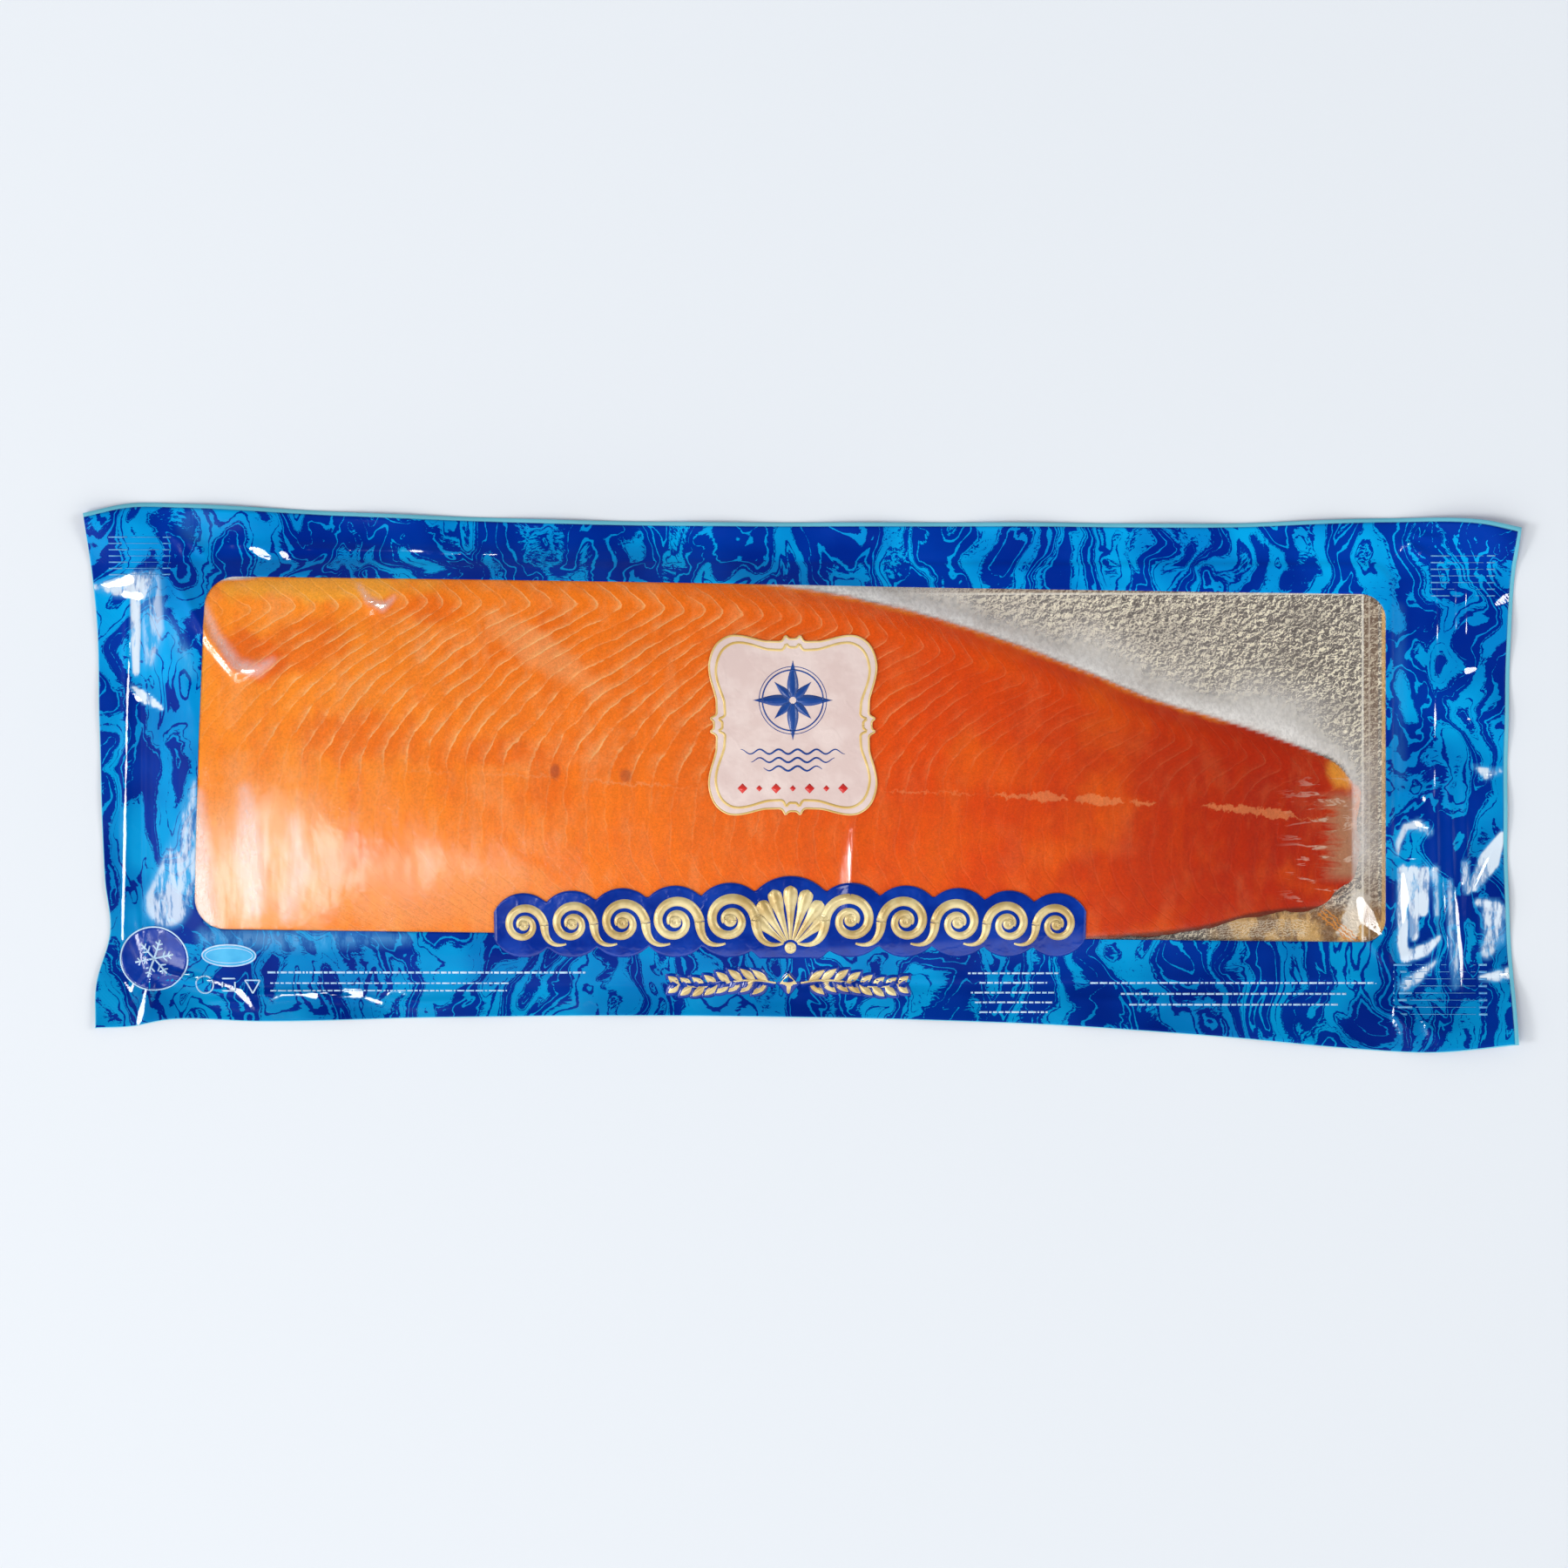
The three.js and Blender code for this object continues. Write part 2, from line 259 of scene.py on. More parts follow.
# Places where creased film mirrors the side light: x, y and half width along each
glints = [
    [
        (-323.6, 66.4, 0.6), (-324.9, 39.1, 1.1), (-325.7, -2.9, 0.9), (-326.6, -44.9, 1.2),
        (-327.4, -78.5, 0.9),
    ],
    [(-342.1, 94.5, 0.4), (-334, 92.8, 1.6), (-324.2, 95.5, 2.9)],
    [(-326.2, 88.5, 2), (-319.2, 87.5, 2.4)],
    [(-320.2, 108.4, 0.3), (-320.2, 90.8, 0.6), (-320, 71.8, 0.3)],
    [(-316.1, 110.1, 0.3), (-315.6, 92, 0.6), (-315.6, 74.3, 0.3)],
    [(-311, 106.3, 0.2), (-310.8, 95, 0.5), (-310.6, 81.1, 0.2)],
    [(-323.8, 43, 0.6), (-320, 38, 1.6), (-315.5, 35.2, 0.4)],
    [(-320.5, 45, 0.2), (-313, 39.5, 0.7), (-307.5, 34.6, 0.4)],
    [(-299.2, 112.1, 0.7), (-281.6, 111.3, 0.8), (-260.6, 110.5, 0.7)],
    [(-267.3, 110.9, 0.4), (-260.6, 108.4, 2.5), (-256, 105.8, 1.7)],
    [(-292, 113.2, 0.3), (-262, 111.6, 0.5), (-230, 110.2, 0.35), (-190, 109, 0.55), (-150, 108, 0.3)],
    [(-253.9, 110.5, 0.4), (-248.8, 107.1, 2.1), (-245.5, 104.2, 0.8)],
    [(-239.6, 109.6, 0.8), (-227.8, 108.8, 0.8)],
    [(-220.7, 109.2, 0.7), (-210.2, 109.2, 0.7)],
    [(-192.6, 110, 0.7), (-185.8, 109.2, 1.3), (-178.3, 107.9, 0.8)],
    [(-174.5, 107.9, 0.7), (-164, 107.9, 0.9), (-157.3, 107.9, 0.7)],
    [(-153.1, 107.5, 0.9), (-146.4, 107.5, 0.7)],
    [
        (-311, -91.6, 1.7), (-306, -93.2, 1.1), (-295.9, -94.5, 0.8), (-285.8, -97.4, 0.9),
        (-274.5, -100.8, 1.3),
    ],
    [(-276.6, -100.4, 0.8), (-271.1, -102.9, 1.9), (-267.3, -106.7, 1.8), (-264.4, -111.3, 0.8)],
    [
        (-312.3, -92.8, 1.1), (-315.6, -100.4, 0.8), (-316.9, -107.9, 1.1), (-318.1, -113, 1.8),
        (-319.8, -118.4, 1.3),
    ],
    [(-326.6, -97.9, 0.8), (-323.2, -102.5, 1.3), (-321.9, -98.3, 0.8)],
    [(-256.4, -107.1, 0.7), (-250.5, -104.6, 0.8), (-241.7, -104.2, 0.9), (-234.1, -105, 1.9)],
    [(-232.9, -102.9, 0.8), (-222.8, -105, 0.8), (-210.2, -105.8, 1.1), (-202.7, -108.4, 1.4)],
    [(-220.3, -102.1, 1.3), (-213.2, -103.7, 2.5)],
    [(-200.5, -105.8, 0.7), (-198.9, -103.3, 0.8), (-195.9, -102.5, 0.8), (-190.9, -104.2, 0.7)],
    [(-293.4, 81.1, 0.1), (-286.6, 71.4, 0.3), (-278.2, 59.2, 0.3), (-270.7, 50.8, 0.5)],
    [(-273.4, 54.5, 0.3), (-265.8, 50.5, 1.3), (-257.7, 51.8, 0.4)],
    [(-211, 90.5, 0.3), (-207, 84.5, 1), (-200.5, 81.5, 1.5), (-196.5, 84, 0.3)],
    [(23.3, -23.1, 0.6), (22.5, -38.6, 1.1), (22.9, -57.5, 0.8)],
    [(306, 96.2, 0.5), (306.4, 68.5, 0.8), (306.4, 43.3, 0.6)],
    [(314.8, 93.7, 0.8), (315.2, 71.8, 0.8)],
    [(319.8, 92.8, 0.7), (320.2, 69.3, 0.8)],
    [(334.9, 84, 1.7), (340, 86.9, 2.5), (345, 87.4, 1.7)],
    [(320.7, 51.7, 2.1), (324.4, 52.5, 1.4)],
    [(286.4, 20, 0.4), (286.8, 0, 0.6), (286.6, -30, 0.4)],
    [(287.2, -38.4, 0.5), (296.5, -39.4, 0.9), (303, -40.6, 0.4)],
    [(286.8, -42, 0.5), (296, -42.8, 0.6), (306.6, -42, 0.4)],
    [(289.6, -46, 1.4), (290.6, -58, 2.6), (289.6, -70, 1)],
    [(304.2, -43, 0.6), (304.8, -58, 0.8), (305.4, -76, 0.4)],
    [(308.2, -44, 0.5), (310, -60, 0.9), (311.4, -84, 0.6)],
    [(313.6, -46, 0.4), (315.8, -66, 1.4), (317.4, -84, 1.5), (318.2, -104, 0.7)],
    [(317.6, -40, 0.5), (318.2, -52, 1.1)],
    [(334.8, -31, 0.4), (328, -44, 1.3), (322.4, -56, 0.4)],
    [(329, -96, 0.4), (336, -95.2, 1.2), (342.5, -93.8, 0.8)],
    [(301.4, -24.4, 1.2), (297, -22.2, 1.8), (293.4, -20.6, 0.3)],
    [(289, -97, 0.5), (297, -93, 0.9), (305.5, -87, 0.4)],
    [(299.6, -9.6, 1.2), (300, -10.6, 1.2)],
    [(321.2, 28.4, 1.1), (322, 27.8, 1.1)],
    [(305.4, 41.6, 0.5), (305.3, 30, 1), (305, 19, 0.7)],
    [(304.9, 12, 0.5), (304.7, 0, 0.9), (304.6, -9, 0.5)],
    [(325, 3.6, 0.3), (331, 1.2, 0.9), (336, 2.6, 0.3)],
    [(285.8, -107.9, 0.7), (284.1, -115.5, 0.9), (288.3, -123.1, 0.8)],
    [(294.6, -114.7, 0.6), (299.2, -118, 1), (301.3, -123.9, 0.7)],
    [(285.4, 106.3, 0.6), (289.6, 111.3, 0.9), (294.6, 113.8, 0.6)],
    [(297.1, 107.9, 0.7), (302.2, 111.3, 0.7)],
    [(268.6, -59.2, 2.5), (271.9, -66.8, 4.6), (278.7, -75.2, 1.3)],
]

# Painted reflections on the printed film, as pale sheens: how strong, how soft its edge is, and x, y and half
# width along it
paintedSheens = [
    (0.95, 0.7, [(289.4, -44.6, 2.8), (289.4, -80, 2.8)]),
    (0.95, 0.7, [(294.6, -44.8, 2.8), (294.8, -76, 2.4)]),
    (0.9, 0.7, [(299.8, -45, 2.8), (299.4, -64, 2.6)]),
    (0.6, 1, [(305, -44.4, 2.2), (306, -66, 1.2)]),
    (0.9, 1.2, [(288.4, -78, 2), (291, -86, 3.2), (300, -83, 3), (307, -77, 1.2)]),
    (0.75, 1.4, [(290, -100, 3), (297, -96, 2.6), (306, -88, 0.8)]),
    (0.7, 1.2, [(302, -26, 2), (297, -22.5, 2.6), (291, -23.5, 1.8), (287.5, -31, 1.6), (287, -37, 0.8)]),
    (0.6, 1.2, [(312, -50, 1.2), (314, -74, 2.6), (315, -100, 1.6)]),
    (0.95, 1.2, [(337.5, -27.5, 1.8), (331, -40, 5.2), (324, -52, 2.6)]),
    (0.8, 0.9, [(319.4, -41, 1.8), (320.4, -54, 2)]),
    (0.85, 1.4, [(326, -60, 1.8), (334, -62, 3.4), (340, -67, 2.6)]),
    (0.75, 2, [(333, -66, 5.4), (334, -76, 5.6), (330, -84, 3)]),
    (0.9, 1.2, [(327, -96, 1), (335, -95.4, 2.6), (343, -93.4, 2.8)]),
    (0.8, 1.2, [(323.5, 5.4, 0.6), (330, 2.2, 3), (336.6, 3.4, 1.4)]),
    (0.75, 1.6, [(-341, 92, 1.5), (-330, 92, 4.5), (-318, 93, 7.5)]),
    (0.85, 0.7, [(-321.2, 92, 2.4), (-321, 70, 2.5), (-320.8, 51, 1.8)]),
    (0.55, 3, [(-313, 95, 5), (-312, 72, 6.5), (-314, 56, 3)]),
    (0.9, 0.9, [(-323, 44, 0.8), (-316, 38.5, 3), (-307.5, 33.5, 1)]),
    (0.35, 3.5, [(-304, 74, 2.4), (-296, 60, 3.4), (-292, 50, 1.6)]),
    (0.62, 2.6, [(-290.5, -2, 1.2), (-293.5, -20, 4.6), (-298.5, -42, 9.5), (-305, -60, 12)]),
    (0.34, 3.5, [(-285.8, -76.4, 4.2), (-248, -77.7, 5), (-189.2, -76.9, 2.5)]),
    (0.12, 3.5, [(287.5, 81.1, 2.1), (287.9, 39.1, 2.5), (287.9, -2.9, 2.1)]),
    (0.12, 3.5, [(-290, 123.1, 10.1), (-289.2, 127.3, 5.9)]),
]

# Painted reflections and highlights on the window's film, alike
paintedWindowSheens = [
    (0.32, 3, [(-288, 86, 0.4), (-280, 68, 1), (-270, 54, 2.2), (-260, 51.5, 2.6), (-253, 56, 0.6)]),
    (0.3, 2, [(-212, 92, 0.3), (-207, 85, 1), (-200, 81.5, 1.4), (-195, 86, 0.4)]),
    (0.3, 4, [(-289, -8, 1.5), (-288, -40, 5), (-287, -72, 6)]),
    (0.26, 4, [(-266, -6, 2), (-264, -34, 7), (-262, -62, 4)]),
    (0.22, 4, [(-243, -20, 1.5), (-240, -44, 5), (-246, -66, 3)]),
]

strokeFar = 9.0  # no stroke reaches farther than this
glintFar = 3.0

crumple = {
    # height and size of the ripples everywhere, on the seals, and of fine ones that are fuller on the seals
    "cling": (0.1, 18),
    "seal": (0.22, 28),
    "fine": (0.05, 8),
    "tautReach": [5, 9],
    "tautTurns": 8,
    "seed": 11,
}


def nearPath(x, y, path, reach):
    # which points are within reach of the box round a path
    low = path.min(0) - reach
    high = path.max(0) + reach
    return (x > low[0]) & (x < high[0]) & (y > low[1]) & (y < high[1])


def partsOf(path, x, y):
    # for each part of a path, the share along it that is nearest to each point, and how far away it is
    for start, end in zip(path[:-1], path[1:]):
        ahead = end - start
        along = np.clip(((x - start[0]) * ahead[0] + (y - start[1]) * ahead[1]) / (ahead @ ahead), 0, 1)
        yield along, np.hypot(x - start[0] - along * ahead[0], y - start[1] - along * ahead[1])


def foldHeight(x, y):
    total = np.zeros_like(x)
    for height, width, points in folds:
        path = np.array(points, float)
        near = nearPath(x, y, path, 4 * width)
        if not near.any():
            continue
        best = np.full(near.sum(), 1e6)
        share = np.zeros(near.sum())
        for k, (along, away) in enumerate(partsOf(path, x[near], y[near])):
            closer = away < best
            best = np.where(closer, away, best)
            share = np.where(closer, (k + along) / (len(path) - 1), share)
        taper = np.sin(np.pi * np.clip(share * 0.92 + 0.04, 0, 1)) ** 0.6
        total[near] += height * taper * np.exp(-(best / width) ** 1.5)
    return total


def insideStroke(x, y, points):
    # how far each point is inside a stroke of varying width, down to the far value
    stroke = np.array(points, float)
    path = stroke[:, :2]
    half = stroke[:, 2]
    best = np.full(x.shape, -strokeFar)
    near = nearPath(x, y, path, half.max() + strokeFar)
    for k, (along, away) in enumerate(partsOf(path, x[near], y[near])):
        best[near] = np.maximum(best[near], mix(half[k], half[k + 1], along) - away)
    return best


def glintField(x, y):
    inside = [insideStroke(x, y, stroke) for stroke in glints]
    return np.clip(np.max(inside, axis=0), -glintFar, glintFar)


# painted reflections: how strongly a sheen is painted at each point, from the strongest stroke over it
def paintedSheenField(x, y, strokes):
    total = np.zeros(x.shape)
    for share, soft, stroke in strokes:
        total = np.maximum(total, share * smoothStep(-soft, soft, insideStroke(x, y, stroke)))
    return total


def tautTop(x, y):
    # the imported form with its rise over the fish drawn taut: each point is the mean of its surroundings
    total = fishRise(x, y)
    turns = crumple["tautTurns"]
    for reach in crumple["tautReach"]:
        for k in range(turns):
            turn = 2 * math.pi * (k + 0.5) / turns
            total = total + fishRise(x + reach * math.cos(turn), y + reach * math.sin(turn))
    return filmTop(x, y) - fishRise(x, y) + total / (1 + turns * len(crumple["tautReach"]))


def filmSurface(x, y):
    # the outside of the dressed film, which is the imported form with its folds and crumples
    past = smoothStep(2, 14, 4 - insideBoard(x, y))
    shares = {"cling": 1, "seal": past, "fine": 0.25 + 0.75 * past}
    ripples = 0
    for k, (name, share) in enumerate(shares.items()):
        height, size = crumple[name]
        ripples = ripples + share * height * softNoise(x, y, size, crumple["seed"] + k)
    return np.maximum(tautTop(x, y) + foldHeight(x, y) + ripples, sealLift(x, y) + bag["seal"])


# Making pieces

def selectOnly(piece):
    bpy.ops.object.select_all(action="DESELECT")
    piece.select_set(True)
    bpy.context.view_layer.objects.active = piece


def applyModifier(piece, name):
    selectOnly(piece)
    bpy.ops.object.modifier_apply(modifier=name)


def rawPlaces(piece):
    # the places of a piece's vertices, as three rows
    flat = np.empty(len(piece.data.vertices) * 3)
    piece.data.vertices.foreach_get("co", flat)
    return flat.reshape(-1, 3).T


def verticesOf(piece):
    return rawPlaces(piece) / mm


def placeVertices(piece, shape):
    # moves each vertex to where shape puts it, given its own x and y
    u, v, _ = rawPlaces(piece)
    piece.data.vertices.foreach_set("co", (np.column_stack(shape(u, v)) * mm).ravel())
    piece.data.update()


def addGrid(name, columns, rows, shape):
    # a grid of columns by rows faces, whose corners run from -1 to 1 before shape places them
    bpy.ops.object.select_all(action="DESELECT")
    bpy.ops.mesh.primitive_grid_add(x_subdivisions=columns, y_subdivisions=rows, size=2)
    piece = rename(bpy.context.object, name)
    placeVertices(piece, shape)
    return piece


def addPlate(name, cells, centre, reachAt, lift):
    # a round plate on the film: reachAt tells how far its edge is along and across, in each direction
    def shape(u, v):
        share = np.maximum(np.abs(u), np.abs(v))
        turn = np.arctan2(v, u)
        wide, high = reachAt(turn)
        x = centre[0] + share * wide * np.cos(turn)
        y = centre[1] + share * high * np.sin(turn)
        return x, y, filmSurface(x, y) + lift

    return addGrid(name, *cells, shape)


def thicken(piece, thickness):
    # a closed sheet whose outside stays where the grid was
    solid = piece.modifiers.new("thickness", "SOLIDIFY")
    solid.thickness = thickness * mm
    solid.offset = -1
    applyModifier(piece, "thickness")


def cutWith(piece, cutter, operation):
    cut = piece.modifiers.new("cut", "BOOLEAN")
    cut.operation = operation
    cut.solver = "MANIFOLD"
    cut.object = cutter
    applyModifier(piece, "cut")


def rename(piece, name):
    piece.name = name
    piece.data.name = name
    return piece


def joinPieces(pieces, name):
    bpy.ops.object.select_all(action="DESELECT")
    for piece in pieces:
        piece.select_set(True)
    bpy.context.view_layer.objects.active = pieces[0]
    if len(pieces) > 1:
        bpy.ops.object.join()
    return rename(bpy.context.view_layer.objects.active, name)


def copyPiece(piece, name):
    double = piece.copy()
    double.data = piece.data.copy()
    bpy.context.collection.objects.link(double)
    return rename(double, name)


def setAttributes(piece, fields):
    for name, values in fields.items():
        attribute = piece.data.attributes.new(name, "FLOAT", "POINT")
        spread = np.broadcast_to(values, len(piece.data.vertices))
        attribute.data.foreach_set("value", np.ascontiguousarray(spread, dtype=np.float32))


def finish(piece, material):
    selectOnly(piece)
    bpy.ops.object.shade_smooth()
    piece.data.materials.clear()
    piece.data.materials.append(material)
    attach(piece, "root")
    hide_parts("pouch")


def finishPrint(pieces, name, thickness, material):
    # strokes or plates of ink joined into one piece
    piece = joinPieces(pieces, name)
    thicken(piece, thickness)
    finish(piece, material)


def drawStroke(path, widths, lift):
    # a flat stroke lying on the film: path and widths are functions of a share from 0 to 1 along it
    steps = path["steps"]

    def shape(u, v):
        share = (u + 1) / 2
        x, y = path["at"](share)
        aheadX, aheadY = path["at"](np.clip(share + 0.5 / steps, 0, 1))
        behindX, behindY = path["at"](np.clip(share - 0.5 / steps, 0, 1))
        turnX = aheadX - behindX
        turnY = aheadY - behindY
        length = np.maximum(np.hypot(turnX, turnY), 1e-9)
        half = widths(share) / 2
        x = x - turnY / length * half * v
        y = y + turnX / length * half * v
        return x, y, filmSurface(x, y) + lift

    return addGrid("stroke", steps, 2, shape)


def even(width):
    return lambda share: width + 0 * share


def lozenge(high):
    return lambda share: high * (1 - np.abs(2 * share - 1))


def spoke(centre, turn, reach):
    # the place at a distance from the centre, in a direction
    return centre[0] + reach * math.cos(turn), centre[1] + reach * math.sin(turn)


def between(start, end, share):
    return mix(start[0], end[0], share), mix(start[1], end[1], share)


def straight(start, end, steps):
    return {"steps": steps, "at": lambda share: between(start, end, share)}


def ringPath(centre, halfLength, halfWidth, steps=96):
    def at(share):
        turn = 2 * np.pi * share
        return centre[0] + halfLength * np.cos(turn), centre[1] + halfWidth * np.sin(turn)

    return {"steps": steps, "at": at}


# Material helpers

def addNode(tree, kind, inputs=None, **settings):
    # a node with its settings, and its inputs linked or filled in
    node = tree.nodes.new(kind)
    for name, value in settings.items():
        setattr(node, name, value)
    for name, value in (inputs or {}).items():
        if isinstance(value, bpy.types.NodeSocket):
            tree.links.new(value, node.inputs[name])
        else:
            node.inputs[name].default_value = value
    return node


def newMaterial(name):
    material = bpy.data.materials.new(name)
    material.use_nodes = True
    tree = material.node_tree
    tree.nodes.clear()
    return material, tree


def showShader(tree, shader):
    addNode(tree, "ShaderNodeOutputMaterial", {"Surface": shader.outputs[0]})


def mixShaders(tree, share, first, second):
    return addNode(tree, "ShaderNodeMixShader", {0: share, 1: first.outputs[0], 2: second.outputs[0]})


def addPrincipled(tree, inputs):
    return addNode(tree, "ShaderNodeBsdfPrincipled", inputs)


def maths(tree, operation, first, second=0.0, third=0.0):
    return addNode(tree, "ShaderNodeMath", {0: first, 1: second, 2: third}, operation=operation).outputs[0]


def product(tree, first, *others):
    for other in others:
        first = maths(tree, "MULTIPLY", first, other)
    return first


def swayed(tree, value, noise, reach):
    # the value pushed up and down by a noise that is a half on average
    return maths(tree, "MULTIPLY_ADD", maths(tree, "SUBTRACT", noise, 0.5), reach, value)


def vectorMaths(tree, operation, first, second=(0, 0, 0), scale=1.0):
    inputs = {0: first, 1: second, 3: scale}
    node = addNode(tree, "ShaderNodeVectorMath", inputs, operation=operation)
    return node.outputs["Value" if operation == "LENGTH" else "Vector"]


def mapRange(tree, value, low, high, toLow=0.0, toHigh=1.0, kind="SMOOTHSTEP"):
    inputs = {"Value": value, "From Min": low, "From Max": high, "To Min": toLow, "To Max": toHigh}
    return addNode(tree, "ShaderNodeMapRange", inputs, interpolation_type=kind).outputs["Result"]


def mixColours(tree, share, first, second):
    inputs = {0: share, 6: first, 7: second}
    return addNode(tree, "ShaderNodeMix", inputs, data_type="RGBA").outputs[2]


def noiseOf(tree, vector, scale, detail=2.0, roughness=0.5, output="Fac", distortion=0.0):
    inputs = {"Vector": vector, "Scale": scale, "Detail": detail, "Roughness": roughness}
    inputs["Distortion"] = distortion
    return addNode(tree, "ShaderNodeTexNoise", inputs).outputs[output]


def objectPlace(tree):
    return addNode(tree, "ShaderNodeTexCoord").outputs["Object"]


def axesOf(tree, vector):
    return addNode(tree, "ShaderNodeSeparateXYZ", {0: vector}).outputs


def bumped(tree, height, strength, distance, normal=None):
    inputs = {"Height": height, "Strength": strength, "Distance": distance}
    if normal is not None:
        inputs["Normal"] = normal
    return addNode(tree, "ShaderNodeBump", inputs).outputs[0]


def attributeOf(tree, name):
    return addNode(tree, "ShaderNodeAttribute", attribute_name=name).outputs["Fac"]


def stretched(tree, vector, scale, turn=0.0):
    inputs = {"Vector": vector, "Scale": scale, "Rotation": (0, 0, math.radians(turn))}
    return addNode(tree, "ShaderNodeMapping", inputs).outputs["Vector"]


def newGroup(name, inputs, outputs):
    tree = bpy.data.node_groups.new(name, "ShaderNodeTree")
    for label, kind, value in inputs:
        socket = tree.interface.new_socket(label, in_out="INPUT", socket_type=kind)
        if value is not None:
            socket.default_value = value
    for label, kind in outputs:
        tree.interface.new_socket(label, in_out="OUTPUT", socket_type=kind)
    return tree, tree.nodes.new("NodeGroupInput").outputs, tree.nodes.new("NodeGroupOutput").inputs


def useGroup(tree, group, inputs):
    return addNode(tree, "ShaderNodeGroup", inputs, node_tree=group).outputs


# Shared effects

def makeFilmCrinkle():
    # fine wrinkles of thin film: short creases over soft dimples
    tree, given, made = newGroup(
        "filmCrinkle",
        [("Place", "NodeSocketVector", None), ("Crease Scale", "NodeSocketFloat", 60.0),
         ("Dimple Scale", "NodeSocketFloat", 25.0)],
        [("Height", "NodeSocketFloat")],
    )
    dimples = noiseOf(tree, given["Place"], given["Dimple Scale"], 2.0)
    folded = noiseOf(tree, given["Place"], given["Crease Scale"], 3.0, 0.55)
    crest = maths(tree, "ABSOLUTE", maths(tree, "SUBTRACT", folded, 0.5))
    crest = mapRange(tree, crest, 0.0, 0.09, 1.0, 0.0)
    tree.links.new(maths(tree, "MULTIPLY_ADD", crest, 0.35, dimples), made["Height"])
    return tree


def makeGlintLean():
    # the normal of creased film: tilted to mirror the side light where the field is over nothing, and
    # ragged at its edges
    tree, given, made = newGroup(
        "glintLean",
        [("Place", "NodeSocketVector", None), ("Field", "NodeSocketFloat", None)],
        [("Normal", "NodeSocketVector"), ("Mask", "NodeSocketFloat")],
    )
    ragged = noiseOf(tree, stretched(tree, given["Place"], (1, 0.3, 1), 12), 300.0, 3.0, 0.6)
    broad = noiseOf(tree, stretched(tree, given["Place"], (1, 0.45, 1), -15), 110.0, 2.0, 0.5)
    broad = maths(tree, "SUBTRACT", broad, lean["broadMiddle"])
    broad = product(tree, broad, lean["broad"], mapRange(tree, given["Field"], 1.2, 3.0))
    field = maths(tree, "ADD", swayed(tree, given["Field"], ragged, lean["ragged"]), broad)
    mask = mapRange(tree, field, -0.1, 0.7)
    along = axesOf(tree, given["Place"])["X"]
    slope = mapRange(tree, along, -0.3, 0.3, lean["head"], lean["tail"], "LINEAR")
    tilted = addNode(tree, "ShaderNodeCombineXYZ", {"X": slope, "Y": lean["near"], "Z": 1.0}).outputs[0]
    tilted = vectorMaths(tree, "NORMALIZE", tilted)
    plain = addNode(tree, "ShaderNodeTexCoord").outputs["Normal"]
    mixed = addNode(tree, "ShaderNodeMix", {0: mask, 4: plain, 5: tilted}, data_type="VECTOR").outputs[1]
    turned = addNode(tree, "ShaderNodeVectorTransform", {0: mixed}, vector_type="NORMAL",
                     convert_from="OBJECT", convert_to="WORLD").outputs[0]
    tree.links.new(vectorMaths(tree, "NORMALIZE", turned), made["Normal"])
    tree.links.new(mask, made["Mask"])
    return tree


def makeMarbling():
    # flowing agate bands of two colours: rings and echo lines round slow hills, wide or hairline
    tree, given, made = newGroup(
        "marbling",
        [("Place", "NodeSocketVector", None), ("Dark", "NodeSocketColor", None),
         ("Light", "NodeSocketColor", None)],
        [("Color", "NodeSocketColor"), ("Mask", "NodeSocketFloat")],
    )
    start = stretched(tree, given["Place"], (marble["fineness"],) * 3)
    axes = axesOf(tree, given["Place"])
    flow = start
    for warp in marble["warps"]:
        push = noiseOf(tree, flow, warp["scale"], warp["detail"], 0.5, "Color")
        push = vectorMaths(tree, "SUBTRACT", push, (0.5, 0.5, 0.5))
        push = vectorMaths(tree, "SCALE", push, scale=warp["reach"] * mm)
        flow = vectorMaths(tree, "ADD", flow, push)
    hillPlace = stretched(tree, flow, marble["stretch"], marble["turn"])
    hills = noiseOf(tree, hillPlace, marble["hillScale"], marble["hillDetail"], marble["hillRoughness"])
    raggedPlace = stretched(tree, flow, (0.4, 1, 1), marble["turn"])
    ragged = noiseOf(tree, raggedPlace, marble["raggedScale"], 3.0, 0.7)
    phase = maths(tree, "MULTIPLY", hills, 2 * math.pi * marble["rings"])
    fields = swayed(tree, maths(tree, "SINE", phase), ragged, marble["ragged"])
    level = noiseOf(tree, start, marble["levelScale"], 1.0)
    level = mapRange(tree, level, 0.3, 0.7, marble["levelLow"], marble["levelHigh"], "LINEAR")
    backEdge, headEdge = marble["backEdge"], marble["headEdge"]
    backBias = mapRange(tree, axes["Y"], backEdge, backEdge + 0.04, 0.0, marble["backBias"])
    headBias = mapRange(tree, axes["X"], headEdge - 0.03, headEdge, marble["headBias"], 0.0)
    bias = maths(tree, "ADD", backBias, headBias)
    fields = maths(tree, "GREATER_THAN", fields, maths(tree, "ADD", level, bias))
    echoes = maths(tree, "MULTIPLY_ADD", phase, marble["lineRate"], marble["linePhase"])
    lines = maths(tree, "ABSOLUTE", maths(tree, "SINE", echoes))
    lines = swayed(tree, lines, ragged, marble["lineRagged"])
    wide = noiseOf(tree, stretched(tree, flow, (1, 0.6, 1), 40), marble["lineScale"], 2.0)
    wide = mapRange(tree, wide, 0.38, 0.66, marble["lineLow"], marble["lineHigh"], "LINEAR")
    lines = maths(tree, "LESS_THAN", lines, wide)
    mask = maths(tree, "ABSOLUTE", maths(tree, "SUBTRACT", fields, lines))
    tree.links.new(mixColours(tree, mask, given["Dark"], given["Light"]), made["Color"])
    tree.links.new(mask, made["Mask"])
    return tree


lean = {
    # slope along the pack that mirrors the side light at its head end and tail end, and slope across it
    "head": -0.44,
    "tail": -0.61,
    "near": -0.11,
    "ragged": 1.2,
    "broad": 14,  # how far slow gaps eat into a wide glint, and the noise value past which they do
    "broadMiddle": 0.56,
}

